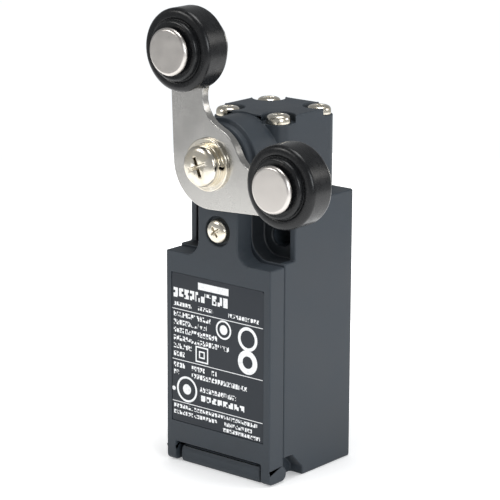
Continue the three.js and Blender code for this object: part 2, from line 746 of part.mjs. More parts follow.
function makeHead() {
  const half = HEAD_WIDTH / 2;
  const rearEnd = BODY_DEPTH - REAR_WALL;
  const plan = roundedRectangle(-half, half, HEAD_FRONT, BODY_DEPTH, HEAD_ROUND);
  const boss = turnedAcross(
    [
      [0, BOSS_FRONT],
      [BOSS_RADIUS - BOSS_CHAMFER, BOSS_FRONT],
      [BOSS_RADIUS, BOSS_FRONT + BOSS_CHAMFER],
      [BOSS_RADIUS, HEAD_CENTRE],
      [0, HEAD_CENTRE],
    ],
    0,
    PIVOT_HEIGHT,
    36,
  );
  // The boss hangs lower than the case top, so it is trimmed level with the base of the head.
  const below = block(-half, half, -5, BODY_DEPTH + 1, 0, CASE_HEIGHT);
  const scallops = HEAD_SCREWS.map(({ x, d }) =>
    rodUp(HEAD_SCALLOP, x, d, HEAD_SEAT_HEIGHT, HEAD_TOP_HEIGHT + 1, 20),
  );
  const holes = HEAD_SCREWS.map(({ x, d }) =>
    rodUp(M3.shank + HOLE_CLEARANCE, x, d, CASE_HEIGHT - 1, HEAD_TOP_HEIGHT, 12),
  );
  return cut(
    join(slab(plan, CASE_HEIGHT, HEAD_TOP_HEIGHT), boss),
    below,
    ...scallops,
    ...holes,
    rodUp(HEAD_CAVITY_RADIUS, 0, HEAD_CENTRE, 0, HEAD_CAVITY_TOP, 28),
    rodAcross(BUSH_RADIUS, 0, PIVOT_HEIGHT, -1, CAM_FRONT, 24),
    rodAcross(REAR_JOURNAL_RADIUS + RUNNING_CLEARANCE, 0, PIVOT_HEIGHT, HEAD_CENTRE, rearEnd),
    rodUp(LOCK_RADIUS + HOLE_CLEARANCE, 0, HEAD_CENTRE, HEAD_CAVITY_TOP - 1, LOCK_BORE_TOP, 12),
    headGasketRing(SEATED_CLEARANCE, CASE_HEIGHT - 1, CASE_HEIGHT + GASKET_THICKNESS),
  );
}

// A cam whose radius grows evenly through the swing, so that the plunger drops in step with it.
function makeCam() {
  const start = -90 + CAM_OVERRUN;
  const end = -90 - LEVER_SWING - CAM_OVERRUN;
  const steps = 24;
  const spiral = Array.from({ length: steps + 1 }, (_, i) => {
    const angle = start + ((end - start) * i) / steps;
    const turned = THREE.MathUtils.clamp(-90 - angle, 0, LEVER_SWING);
    const radius = CAM_BASE_RADIUS + (CAM_LIFT * turned) / LEVER_SWING;
    return arc(0, PIVOT_HEIGHT, radius, angle, angle, 1)[0];
  });
  const round = arc(0, PIVOT_HEIGHT, CAM_BASE_RADIUS, end - 14, start + 14 - 360, 16);
  const profile = outline(spiral, round);
  const bore = rodAcross(CAM_SEAT_RADIUS + SEATED_CLEARANCE, 0, PIVOT_HEIGHT, 0, BODY_DEPTH, 24);
  return cut(plate(profile, CAM_FRONT, CAM_BACK), bore);
}

function makeShaft() {
  const spigotFront = LEVER_FRONT + 0.2;
  const rearEnd = BODY_DEPTH - REAR_WALL - SCREW_TIP_ROOM;
  const collarBack = BOSS_FRONT - SHAFT_END_PLAY;
  const camShoulder = CAM_FRONT - SHAFT_END_PLAY;
  const body = turnedAcross(
    [
      [0, spigotFront],
      [CAM_SEAT_RADIUS, spigotFront],
      [CAM_SEAT_RADIUS, LEVER_BACK],
      [SHAFT_COLLAR_RADIUS, LEVER_BACK],
      [SHAFT_COLLAR_RADIUS, collarBack],
      [SHAFT_RADIUS, collarBack],
      [SHAFT_RADIUS, camShoulder],
      [CAM_SEAT_RADIUS, camShoulder],
      [CAM_SEAT_RADIUS, CAM_BACK + 1.4],
      [REAR_JOURNAL_RADIUS, CAM_BACK + 1.4],
      [REAR_JOURNAL_RADIUS, rearEnd],
      [0, rearEnd],
    ],
    0,
    PIVOT_HEIGHT,
    24,
  );
  const drilled = LEVER_SCREW_TIP + SCREW_TIP_ROOM;
  const thread = rodAcross(M5.shank + HOLE_CLEARANCE, 0, PIVOT_HEIGHT, -5, drilled);
  return cut(body, thread);
}

function ringAcross(inner, outer, d0, d1, sides = 24) {
  return turnedAcross(
    [
      [inner, d0],
      [outer, d0],
      [outer, d1],
      [inner, d1],
      [inner, d0],
    ],
    0,
    PIVOT_HEIGHT,
    sides,
  );
}

function makePlunger() {
  const flangeTop = FLANGE_BOTTOM + FLANGE_THICKNESS;
  const shoulder = PLUNGER_TIP - PLUNGER_RADIUS;
  const dome = arc(0, shoulder, PLUNGER_RADIUS, 0, 90, 4).map((p) => [Math.max(p.x, 0), p.y]);
  dome[dome.length - 1][0] = 0;
  return turnedUp(
    [
      [0, STEM_BOTTOM],
      [PLUNGER_STEM, STEM_BOTTOM],
      [PLUNGER_STEM, FLANGE_BOTTOM],
      [PLUNGER_FLANGE, FLANGE_BOTTOM],
      [PLUNGER_FLANGE, flangeTop],
      [PLUNGER_RADIUS, flangeTop],
      ...dome,
    ],
    0,
    HEAD_CENTRE,
    16,
  );
}

function makeLockPlunger() {
  return turnedUp(
    [
      [0, LOCK_TIP],
      [LOCK_RADIUS * 0.6, LOCK_TIP + 0.2],
      [LOCK_RADIUS, LOCK_TIP + 0.8],
      [LOCK_RADIUS, LOCK_TOP],
      [0, LOCK_TOP],
    ],
    0,
    HEAD_CENTRE,
    12,
  );
}

addNode("head_housing", makeHead(), "shell");
addNode("head_gasket", headGasketRing(0, CASE_HEIGHT, CASE_HEIGHT + GASKET_THICKNESS), "seal");
for (const { x, d, name } of HEAD_SCREWS) {
  addNode(name, screwUp(M3, x, d, HEAD_SEAT_HEIGHT, HEAD_SCREW_TIP), "zinc");
}
addNode("lever_shaft", makeShaft(), "steel");
addNode(
  "shaft_seal",
  ringAcross(
    SHAFT_RADIUS + RUNNING_CLEARANCE,
    BUSH_RADIUS - SEATED_CLEARANCE,
    SEAL_START,
    SEAL_START + SEAL_DEPTH,
  ),
  "seal",
);
addNode(
  "shaft_bush",
  ringAcross(SHAFT_RADIUS + RUNNING_CLEARANCE, BUSH_RADIUS - SEATED_CLEARANCE, BUSH_START, BUSH_END),
  "bronze",
);
addNode("cam", makeCam(), "steel");
addNode("head_plunger", makePlunger(), "steel");
addNode(
  "return_spring",
  coil(
    2.6,
    0.3,
    0,
    HEAD_CENTRE,
    SPRING_BORE_FLOOR + SPRING_END_GAP,
    FLANGE_BOTTOM - SPRING_END_GAP,
    5,
  ),
  "steel",
);
addNode("lock_plunger", makeLockPlunger(), "steel");
addNode(
  "lock_spring",
  coil(1.5, 0.25, 0, HEAD_CENTRE, LOCK_TOP + SPRING_END_GAP, LOCK_BORE_TOP - SPRING_END_GAP, 2),
  "steel",
);

// ---------------------------------------------------------------- lever and rollers

const polar = (angle, radius) => {
  const turned = THREE.MathUtils.degToRad(angle);
  return at(radius * Math.cos(turned), PIVOT_HEIGHT + radius * Math.sin(turned));
};
const ARM_ENDS = ARM_ANGLES.map((angle) => polar(angle, ARM_LENGTH));

// The fork. On the outer side, straight edges run from the pivot disc to a shoulder on each arm and
// on to its rounded end; on the inner side, the pivot disc blends into the ends by concave fillets.
function forkOutline() {
  const [upper, lower] = ARM_ANGLES;
  const toPivot = LEVER_PIVOT_INNER + LEVER_FILLET;
  const toEnd = LEVER_END_RADIUS + LEVER_FILLET;
  const degrees = THREE.MathUtils.radToDeg;
  // Angles at the pivot and at the end, in the triangle of pivot, end and fillet centre.
  const lean = degrees(
    Math.acos((toPivot ** 2 + ARM_LENGTH ** 2 - toEnd ** 2) / (2 * toPivot * ARM_LENGTH)),
  );
  const leanAtEnd = degrees(
    Math.acos((toEnd ** 2 + ARM_LENGTH ** 2 - toPivot ** 2) / (2 * toEnd * ARM_LENGTH)),
  );
  // Angles from the arm to where a straight edge touches: pivot to shoulder, shoulder to end.
  const rootTouch = degrees(
    Math.acos((LEVER_PIVOT_OUTER - LEVER_SHOULDER_RADIUS) / LEVER_SHOULDER_REACH),
  );
  const tipTouch = degrees(
    Math.acos((LEVER_SHOULDER_RADIUS - LEVER_END_RADIUS) / (ARM_LENGTH - LEVER_SHOULDER_REACH)),
  );
  const lowFillet = polar(lower + lean, toPivot);
  const topFillet = polar(upper - lean, toPivot);
  const [topEnd, lowEnd] = ARM_ENDS;
  const [topShoulder, lowShoulder] = ARM_ANGLES.map((angle) => polar(angle, LEVER_SHOULDER_REACH));
  const round = (centre, radius, from, to, steps) =>
    arc(centre.x, centre.y, radius, from, to, steps);
  return outline(
    round(lowShoulder, LEVER_SHOULDER_RADIUS, lower - rootTouch, lower - tipTouch, 3),
    round(lowEnd, LEVER_END_RADIUS, lower - tipTouch, lower + 180 - leanAtEnd, 18),
    round(lowFillet, LEVER_FILLET, lower - leanAtEnd, lower + lean - 180, 8),
    arc(0, PIVOT_HEIGHT, LEVER_PIVOT_INNER, lower + lean, upper - lean, 6),
    round(topFillet, LEVER_FILLET, upper - lean + 180, upper + leanAtEnd, 8),
    round(topEnd, LEVER_END_RADIUS, upper - 180 + leanAtEnd, upper + tipTouch, 18),
    round(topShoulder, LEVER_SHOULDER_RADIUS, upper + tipTouch, upper + rootTouch, 3),
    arc(0, PIVOT_HEIGHT, LEVER_PIVOT_OUTER, upper + rootTouch, lower - rootTouch + 360, 14),
  );
}

function makeLever() {
  const pivotHole = rodAcross(CAM_SEAT_RADIUS + SEATED_CLEARANCE, 0, PIVOT_HEIGHT, -9, 9, 24);
  const pinHoles = ARM_ENDS.map(({ x, y }) =>
    rodAcross(PIN_TAIL_RADIUS + SEATED_CLEARANCE, x, y, -9, 9, 20),
  );
  return cut(plate(forkOutline(), LEVER_FRONT, LEVER_BACK), pivotHole, ...pinHoles);
}

function makeRoller({ x, y }) {
  const bore = PIN_RADIUS + RUNNING_CLEARANCE;
  const rim = ROLLER_RADIUS - ROLLER_EDGE;
  const edge = (d, from, to) =>
    arc(rim, d, ROLLER_EDGE, from, to, 2).map((p) => [p.x, p.y]);
  return turnedAcross(
    [
      [bore, HUB_FRONT],
      [ROLLER_HUB_RADIUS - ROLLER_HUB_CHAMFER, HUB_FRONT],
      [ROLLER_HUB_RADIUS, HUB_FRONT + ROLLER_HUB_CHAMFER],
      [ROLLER_HUB_RADIUS, ROLLER_FRONT],
      ...edge(ROLLER_FRONT + ROLLER_EDGE, -90, 0),
      ...edge(ROLLER_BACK - ROLLER_EDGE, 0, 90),
      [ROLLER_HUB_RADIUS, ROLLER_BACK],
      [ROLLER_HUB_RADIUS, HUB_BACK],
      [bore, HUB_BACK],
      [bore, HUB_FRONT],
    ],
    x,
    y,
    30,
  );
}

function makeRollerPin({ x, y }) {
  return turnedAcross(
    [
      [0, PIN_FRONT],
      [PIN_HEAD_RADIUS - PIN_HEAD_CHAMFER, PIN_FRONT],
      [PIN_HEAD_RADIUS, PIN_FRONT + PIN_HEAD_CHAMFER],
      [PIN_HEAD_RADIUS, PIN_HEAD_BACK],
      [PIN_RADIUS, PIN_HEAD_BACK],
      [PIN_RADIUS, LEVER_FRONT],
      [PIN_TAIL_RADIUS, LEVER_FRONT],
      [PIN_TAIL_RADIUS, LEVER_BACK],
      [0, LEVER_BACK],
    ],
    x,
    y,
    20,
  );
}

function makeSpringWasher(d0, d1) {
  const ring = ringAcross(M5.shank + HOLE_CLEARANCE, SPRING_WASHER_RADIUS, d0, d1);
  const half = SPRING_WASHER_SPLIT / 2;
  const split = block(0, 9, d0 - 1, d1 + 1, PIVOT_HEIGHT - half, PIVOT_HEIGHT + half);
  return cut(ring, split);
}

addNode("fork_lever", makeLever(), "stainless");
addNode(
  "lever_washer",
  ringAcross(M5.shank + HOLE_CLEARANCE, WASHER_RADIUS, WASHER_FRONT, LEVER_FRONT),
  "zinc",
);
addNode("lever_spring_washer", makeSpringWasher(SPRING_WASHER_FRONT, WASHER_FRONT), "zinc");
addNode(
  "lever_screw",
  screwAcross(M5, 0, PIVOT_HEIGHT, SPRING_WASHER_FRONT, LEVER_SCREW_TIP),
  "zinc",
);
["upper", "side"].forEach((place, i) => {
  addNode(`roller_${place}`, makeRoller(ARM_ENDS[i]), "resin");
  addNode(`roller_pin_${place}`, makeRollerPin(ARM_ENDS[i]), "pin");
});

// ---------------------------------------------------------------- switch block

// The four terminals: NC pair above, NO pair below.
const TERMINALS = [UPPER_TERMINAL, LOWER_TERMINAL].flatMap((h, row) =>
  [-1, 1].map((side) => ({
    side,
    h,
    upper: row === 0,
    name: `${row ? "no" : "nc"}_${side < 0 ? "left" : "right"}`,
  })),
);
const BRIDGE_DEPTHS = [CONTACT_DEPTH - BRIDGE_DEPTH / 2, CONTACT_DEPTH + BRIDGE_DEPTH / 2];
const NC_FACE = UPPER_TERMINAL - TERMINAL_PLATE / 2 - CONTACT_HEIGHT;
const NO_FACE = LOWER_TERMINAL + TERMINAL_PLATE / 2 + CONTACT_HEIGHT;
const NC_BRIDGE = NC_FACE - CONTACT_GAP - CONTACT_HEIGHT - BRIDGE_THICKNESS;
const NO_BRIDGE = NO_FACE + CONTACT_GAP + CAM_LIFT + CONTACT_HEIGHT;

// A block mirrored to the left for side -1.
function sideBlock(side, x0, x1, d0, d1, h0, h1) {
  return side < 0 ? block(-x1, -x0, d0, d1, h0, h1) : block(x0, x1, d0, d1, h0, h1);
}

function makeSwitchBase() {
  const body = block(-BLOCK_HALF, BLOCK_HALF, BLOCK_FRONT, BLOCK_BACK, BLOCK_BOTTOM, BLOCK_TOP);
  const chamber = block(
    -CHAMBER_HALF,
    CHAMBER_HALF,
    0,
    CHAMBER_BACK,
    BLOCK_FLOOR,
    BLOCK_TOP + 1,
  );
  const pocketGap = TERMINAL_HALF + 0.5;
  const pockets = TERMINALS.flatMap(({ side, h }) => [
    sideBlock(
      side,
      CHAMBER_HALF + 0.8,
      BLOCK_HALF + 1,
      0,
      TERMINAL_DEPTH + TERMINAL_PLATE,
      h - pocketGap,
      h + pocketGap,
    ),
    sideBlock(side, 0, CHAMBER_HALF + 2, TERMINAL_DEPTH - 0.1, CONTACT_DEPTH + 2.2, h - 1.2, h + 1.2),
    rodAcross(M35.shank + HOLE_CLEARANCE, side * TERMINAL_X, h, 0, TERMINAL_DEPTH + 4.6, 12),
  ]);
  const screwHoles = [-1, 1].flatMap((side) => [
    rodAcross(M3.head + 0.3, side * TERMINAL_X, BLOCK_SCREW_HEIGHT, 0, BLOCK_SCREW_SEAT, 16),
    rodAcross(M3.shank + HOLE_CLEARANCE, side * TERMINAL_X, BLOCK_SCREW_HEIGHT, 0, BODY_DEPTH, 12),
  ]);
  return cut(body, chamber, ...pockets, ...screwHoles);
}

function makeLid() {
  const half = CHAMBER_HALF + LID_OVERLAP;
  const face = roundedRectangle(
    -half,
    half,
    BLOCK_FLOOR - LID_OVERLAP,
    BLOCK_TOP - LID_OVERLAP,
    0.8,
    3,
  );
  return plate(face, BLOCK_FRONT - LID_THICKNESS, BLOCK_FRONT);
}

function makeTerminal({ side, h, upper }) {
  const half = TERMINAL_PLATE / 2;
  const back = TERMINAL_DEPTH + TERMINAL_PLATE;
  const legX = CHAMBER_HALF + 1;
  const face = sideBlock(
    side,
    legX,
    BLOCK_HALF - 0.3,
    TERMINAL_DEPTH,
    back - 0.05,
    h - TERMINAL_HALF,
    h + TERMINAL_HALF,
  );
  const leg = sideBlock(
    side,
    legX,
    legX + TERMINAL_PLATE,
    TERMINAL_DEPTH,
    CONTACT_DEPTH + TONGUE_HALF,
    h - 1,
    h + 1,
  );
  const tongue = sideBlock(
    side,
    CONTACT_X - 1.1,
    legX + TERMINAL_PLATE,
    CONTACT_DEPTH - TONGUE_HALF,
    CONTACT_DEPTH + TONGUE_HALF,
    h - half,
    h + half,
  );
  const stud = upper ? [h - half - CONTACT_HEIGHT, h] : [h, h + half + CONTACT_HEIGHT];
  const contact = rodUp(CONTACT_RADIUS, side * CONTACT_X, CONTACT_DEPTH, ...stud, 12);
  const hole = rodAcross(M35.shank + HOLE_CLEARANCE, side * TERMINAL_X, h, 0, BODY_DEPTH, 12);
  return cut(join(face, leg, tongue, contact), hole);
}

function makeClamp({ side, h }) {
  const x = side * TERMINAL_X;
  const front = TERMINAL_DEPTH - CLAMP_PROUD;
  const washer = plate(
    roundedRectangle(x - CLAMP_HALF, x + CLAMP_HALF, h - CLAMP_HALF, h + CLAMP_HALF, 0.5, 1),
    front,
    front + TERMINAL_PLATE,
  );
  return cut(washer, rodAcross(M35.shank + HOLE_CLEARANCE, x, h, 0, BODY_DEPTH, 12));
}

function makeCarrier() {
  const body = block(
    -CARRIER_HALF,
    CARRIER_HALF,
    CARRIER_FRONT,
    CARRIER_BACK,
    CARRIER_BOTTOM,
    CARRIER_TOP,
  );
  const [front, back] = BRIDGE_DEPTHS;
  const wide = CARRIER_HALF + 1;
  const ncWindow = [NC_BRIDGE - BRIDGE_SPRING - 0.2, NC_BRIDGE + BRIDGE_THICKNESS + 0.1];
  const noWindow = [NO_BRIDGE - 0.1, NO_BRIDGE + BRIDGE_THICKNESS + BRIDGE_SPRING + 0.2];
  return cut(
    body,
    block(-wide, wide, front - 0.15, back + 0.15, ...ncWindow),
    block(-wide, wide, front - 0.15, back + 0.15, ...noWindow),
  );
}

function makeBridge(bottom, contactsUp) {
  const [front, back] = BRIDGE_DEPTHS;
  const top = bottom + BRIDGE_THICKNESS;
  const bar = block(-BRIDGE_HALF, BRIDGE_HALF, front, back, bottom, top);
  const span = contactsUp ? [bottom, top + CONTACT_HEIGHT] : [bottom - CONTACT_HEIGHT, top];
  const studs = [-1, 1].map((side) =>
    rodUp(CONTACT_RADIUS, side * CONTACT_X, CONTACT_DEPTH, ...span, 12),
  );
  return join(bar, ...studs);
}

addNode("switch_base", makeSwitchBase(), "moulding");
addNode("switch_lid", makeLid(), "moulding");
for (const side of [-1, 1]) {
  addNode(
    `block_screw_${side < 0 ? "left" : "right"}`,
    screwAcross(M3, side * TERMINAL_X, BLOCK_SCREW_HEIGHT, BLOCK_SCREW_SEAT, CAVITY_BACK + 1.6),
    "zinc",
  );
}
for (const terminal of TERMINALS) {
  const screwX = terminal.side * TERMINAL_X;
  addNode(`terminal_${terminal.name}`, makeTerminal(terminal), "brass");
  addNode(`clamp_plate_${terminal.name}`, makeClamp(terminal), "zinc");
  addNode(
    `terminal_screw_${terminal.name}`,
    screwAcross(M35, screwX, terminal.h, TERMINAL_DEPTH - CLAMP_PROUD, TERMINAL_DEPTH + 4),
    "zinc",
  );
}
addNode("contact_carrier", makeCarrier(), "carrier");
addNode(
  "carrier_spring",
  coil(1.9, 0.3, 0, HEAD_CENTRE, BLOCK_FLOOR + SPRING_END_GAP, CARRIER_BOTTOM - SPRING_END_GAP, 4),
  "steel",
);
addNode("bridge_nc", makeBridge(NC_BRIDGE, true), "silver");
addNode("bridge_no", makeBridge(NO_BRIDGE, false), "silver");
addNode(
  "bridge_spring_nc",
  coil(1, 0.2, 0, CONTACT_DEPTH, NC_BRIDGE - BRIDGE_SPRING, NC_BRIDGE - 0.1, 3),
  "steel",
);
addNode(
  "bridge_spring_no",
  coil(
    1,
    0.2,
    0,
    CONTACT_DEPTH,
    NO_BRIDGE + BRIDGE_THICKNESS + 0.1,
    NO_BRIDGE + BRIDGE_THICKNESS + BRIDGE_SPRING,
    3,
  ),
  "steel",
);

export default limitSwitch;
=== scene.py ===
"""The looks of a limit switch with a fork lever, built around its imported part."""

import math

import bpy
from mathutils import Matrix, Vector


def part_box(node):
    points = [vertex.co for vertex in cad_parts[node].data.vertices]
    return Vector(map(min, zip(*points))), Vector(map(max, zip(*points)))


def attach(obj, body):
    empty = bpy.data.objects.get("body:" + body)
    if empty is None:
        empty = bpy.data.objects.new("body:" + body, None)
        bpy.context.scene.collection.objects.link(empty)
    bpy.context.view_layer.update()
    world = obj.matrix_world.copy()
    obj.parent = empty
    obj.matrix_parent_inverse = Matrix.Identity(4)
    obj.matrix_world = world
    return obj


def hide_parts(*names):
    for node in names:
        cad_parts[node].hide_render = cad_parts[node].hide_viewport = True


bl_info = {
    "name": "Fork-lever limit switch",
    "version": (1, 0, 0),
    "blender": (4, 5, 0),
    "location": "View3D > Sidebar > Limit Switch",
    "description": "Builds the visible pieces of a fork-lever limit switch",
    "category": "Object",
}

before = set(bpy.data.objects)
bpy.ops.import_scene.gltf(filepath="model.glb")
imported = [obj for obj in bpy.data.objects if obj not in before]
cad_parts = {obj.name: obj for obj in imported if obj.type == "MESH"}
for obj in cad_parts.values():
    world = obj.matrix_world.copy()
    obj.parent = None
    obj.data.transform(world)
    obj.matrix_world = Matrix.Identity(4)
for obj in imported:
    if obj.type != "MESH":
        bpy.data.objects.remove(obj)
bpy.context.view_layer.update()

MM = 0.001

# Places on the housing, and the rollers' rounded size, that no node's box gives, in millimetres.
HINGE_Y, HINGE_Z = -25.0, -52.6
PIVOT_Z = 16.62
HEAD_AXIS_Y = -10.2
ROLLER_RADIUS = 9.0


# ---------------------------------------------------------------- sizes and colours


def shade(name, description, colour):
    return bpy.props.FloatVectorProperty(
        name=name,
        description=description,
        subtype="COLOR",
        size=3,
        min=0.0,
        max=1.0,
        default=colour,
    )


class SwitchSizes(bpy.types.PropertyGroup):
    """Sizes that change how finely the pieces are finished."""

    moulded_edge: bpy.props.FloatProperty(
        name="Moulded edge",
        description="Width of the rounding on the case and cover edges",
        default=0.35 * MM,
        min=0.0,
        unit="LENGTH",
    )
    head_edge: bpy.props.FloatProperty(
        name="Head edge",
        description="Width of the rounding on the head's edges",
        default=0.3 * MM,
        min=0.0,
        unit="LENGTH",
    )
    pressed_edge: bpy.props.FloatProperty(
        name="Pressed edge",
        description="Width of the rounding on the edges of the pressed lever",
        default=0.22 * MM,
        min=0.0,
        unit="LENGTH",
    )
    screw_edge: bpy.props.FloatProperty(
        name="Screw edge",
        description="Width of the rounding on screw heads and recesses",
        default=0.09 * MM,
        min=0.0,
        unit="LENGTH",
    )
    inner_edge: bpy.props.FloatProperty(
        name="Inner edge",
        description="Width of the rounding on the pieces inside the case",
        default=0.12 * MM,
        min=0.0,
        unit="LENGTH",
    )
    sides: bpy.props.IntProperty(
        name="Sides",
        description="Number of sides of each turned piece",
        default=96,
        min=24,
        max=192,
    )
    texture_grain: bpy.props.FloatProperty(
        name="Moulding grain",
        description="Size of the fine sparked grain on the black mouldings",
        default=0.22 * MM,
        min=0.05 * MM,
        unit="LENGTH",
    )


class SwitchColours(bpy.types.PropertyGroup):
    """Colours of the switch's finishes."""

    shell: shade("Shell", "Charcoal moulding of case, cover and head", (0.027, 0.034, 0.042))
    label: shade("Label", "Smooth sheet of the rating label", (0.0115, 0.0155, 0.0215))
    ink: shade("Print", "Pale print on the label", (0.78, 0.79, 0.8))
    seal: shade("Seal", "Black rubber of gaskets and seal", (0.016, 0.016, 0.017))
    roller: shade("Roller", "Black resin of the rollers", (0.0055, 0.0058, 0.0065))
    lever: shade("Lever", "Bright rolled stainless of the lever", (0.47, 0.46, 0.44))
    pin: shade("Pin", "Turned steel of the roller pins", (0.56, 0.53, 0.5))
    fastener: shade("Fastener", "Bright zinc of the screws and washers", (0.7, 0.66, 0.58))
    steel: shade("Steel", "Plain turned steel", (0.5, 0.51, 0.52))
    bush: shade("Bush", "Sintered bronze", (0.46, 0.3, 0.14))
    terminal: shade("Terminal", "Plated brass strip", (0.66, 0.5, 0.24))
    contact: shade("Contact", "Silver alloy", (0.78, 0.78, 0.75))
    block: shade("Block", "Grey insulating moulding", (0.24, 0.255, 0.27))
    carrier: shade("Carrier", "Natural resin of the contact carrier", (0.6, 0.54, 0.41))


def sizes():
    return bpy.context.scene.switch_sizes


def colours():
    return bpy.context.scene.switch_colours


# ---------------------------------------------------------------- modelling by hand


def scaled(point):
    return Vector(point) * MM


def clear_selection():
    if bpy.context.mode != "OBJECT":
        bpy.ops.object.mode_set(mode="OBJECT")
    bpy.ops.object.select_all(action="DESELECT")


def pick(piece):
    clear_selection()
    piece.select_set(True)
    bpy.context.view_layer.objects.active = piece


def settle(name):
    """Names the primitive just added and puts its place into its mesh."""
    piece = bpy.context.view_layer.objects.active
    piece.name = name
    piece.data.name = name
    bpy.ops.object.transform_apply(location=True, rotation=True, scale=True)
    return piece


def block(name, x, y, z):
    """A rectangular block between pairs of millimetre values."""
    clear_selection()
    low, high = Vector((x[0], y[0], z[0])), Vector((x[1], y[1], z[1]))
    bpy.ops.mesh.primitive_cube_add(size=1, location=scaled((low + high) / 2))
    bpy.context.object.scale = scaled(high - low)
    return settle(name)


def rod(name, axis, centre, radius, start, end, sides=0):
    """A cylinder along an axis; centre gives the two other coordinates in order."""
    clear_selection()
    middle, turn = (start + end) / 2, math.pi / 2
    place, rotation = {
        "X": ((middle, *centre), (0, turn, 0)),
        "Y": ((centre[0], middle, centre[1]), (turn, 0, 0)),
        "Z": ((*centre, middle), (0, 0, 0)),
    }[axis]
    bpy.ops.mesh.primitive_cylinder_add(
        vertices=sides or sizes().sides,
        radius=radius * MM,
        depth=(end - start) * MM,
        location=scaled(place),
        rotation=rotation,
    )
    return settle(name)


def combine(piece, operation, others):
    """Joins the other pieces to a piece, or carves them out of it, and uses them up."""
    for other in others:
        pick(piece)
        bpy.ops.object.modifier_add(type="BOOLEAN")
        modifier = piece.modifiers[-1]
        modifier.operation = operation
        modifier.solver = "EXACT"
        modifier.object = other
        bpy.ops.object.modifier_apply(modifier=modifier.name)
        bpy.data.objects.remove(other)
    return piece


def join(piece, *others):
    return combine(piece, "UNION", others)


def carve(piece, *cutters):
    return combine(piece, "DIFFERENCE", cutters)


def round_edges(piece, chosen, width, segments):
    """Rounds the edges that a test on their two end points, in millimetres, picks."""
    pick(piece)
    bpy.ops.object.mode_set(mode="EDIT")
    bpy.ops.mesh.select_all(action="DESELECT")
    bpy.ops.mesh.select_mode(type="EDGE")
    bpy.ops.object.mode_set(mode="OBJECT")
    points = [v.co / MM for v in piece.data.vertices]
    found = 0
    for edge in piece.data.edges:
        if chosen(points[edge.vertices[0]], points[edge.vertices[1]]):
            edge.select = True
            found += 1
    if not found:
        raise RuntimeError(f"no edge of {piece.name} was found to round")
    bpy.ops.object.mode_set(mode="EDIT")
    bpy.ops.mesh.bevel(offset=width * MM, segments=segments, affect="EDGES", clamp_overlap=False)
    bpy.ops.object.mode_set(mode="OBJECT")
    return piece


def near(value, target, slack=0.02):
    return abs(value - target) < slack


def along(axis, **fixed):
    """A test for edges along an axis whose other coordinates have the given sizes."""
    index = "xyz".index(axis)

    def chosen(a, b):
        others = [i for i in range(3) if i != index]
        if near(a[index], b[index], 0.05) or any(not near(a[i], b[i]) for i in others):
            return False
        return all(
            any(near(a["xyz".index(name)], value) for value in values)
            for name, values in fixed.items()
        )

    return chosen


def slice_off(piece, point, normal):
    """Cuts away what lies on the normal's side of a plane and closes the cut."""
    pick(piece)
    bpy.ops.object.mode_set(mode="EDIT")
    bpy.ops.mesh.select_all(action="SELECT")
    bpy.ops.mesh.bisect(
        plane_co=scaled(point), plane_no=normal, use_fill=True, clear_outer=True
    )
    bpy.ops.object.mode_set(mode="OBJECT")
    return piece


def turned(name, axis, centre, profile, sides=0):
    """A turned piece: (radius, place along the axis) pairs, extruded ring by ring."""
    clear_selection()
    index = "XYZ".index(axis)
    turn = {"X": (0, math.pi / 2, 0), "Y": (math.pi / 2, 0, 0), "Z": (0, 0, 0)}[axis]

    def spot(place):
        where = list(centre)
        where.insert(index, place)
        return scaled(where)

    radius, place = profile[0]
    bpy.ops.mesh.primitive_circle_add(
        vertices=sides or sizes().sides,
        radius=radius * MM,
        fill_type="NGON",
        location=spot(place),
        rotation=turn,
    )
    piece = settle(name)
    bpy.ops.object.mode_set(mode="EDIT")
    bpy.ops.mesh.select_mode(type="FACE")
    bpy.ops.mesh.select_all(action="SELECT")
    for next_radius, next_place in profile[1:]:
        step = spot(next_place) - spot(place)
        bpy.ops.mesh.extrude_region_move(TRANSFORM_OT_translate={"value": step})
        factor = next_radius / radius
        size = [factor] * 3
        size[index] = 1.0
        if not near(factor, 1.0, 1e-6):
            bpy.ops.transform.resize(value=size, center_override=spot(next_place))
        radius, place = next_radius, next_place
    bpy.ops.mesh.select_all(action="SELECT")
    bpy.ops.mesh.normals_make_consistent(inside=False)
    bpy.ops.object.mode_set(mode="OBJECT")
    return piece


def duplicate(piece, name, shift):
    """A copy with its own mesh, moved by a millimetre shift inside the mesh."""
    pick(piece)
    bpy.ops.object.duplicate(linked=False)
    bpy.ops.transform.translate(value=scaled(shift))
    return settle(name)


def copy_of_node(node, name):
    """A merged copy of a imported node, ready for finer edges."""
    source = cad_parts[node]
    piece = bpy.data.objects.new(name, source.data.copy())
    bpy.context.scene.collection.objects.link(piece)
    pick(piece)
    piece.matrix_world = source.matrix_world.copy()
    settle(name)
    piece.data.materials.clear()
    bpy.ops.object.mode_set(mode="EDIT")
    bpy.ops.mesh.select_all(action="SELECT")
    bpy.ops.mesh.remove_doubles(threshold=0.002 * MM)
    bpy.ops.mesh.dissolve_limited(angle_limit=math.radians(1.0))
    bpy.ops.object.mode_set(mode="OBJECT")
    return piece


def weld(piece):
    """Merges the doubled corners that carving leaves, which would stop the edges from rounding."""
    pick(piece)
    bpy.ops.object.mode_set(mode="EDIT")
    bpy.ops.mesh.select_all(action="SELECT")
    bpy.ops.mesh.remove_doubles(threshold=0.03 * MM)
    bpy.ops.object.mode_set(mode="OBJECT")


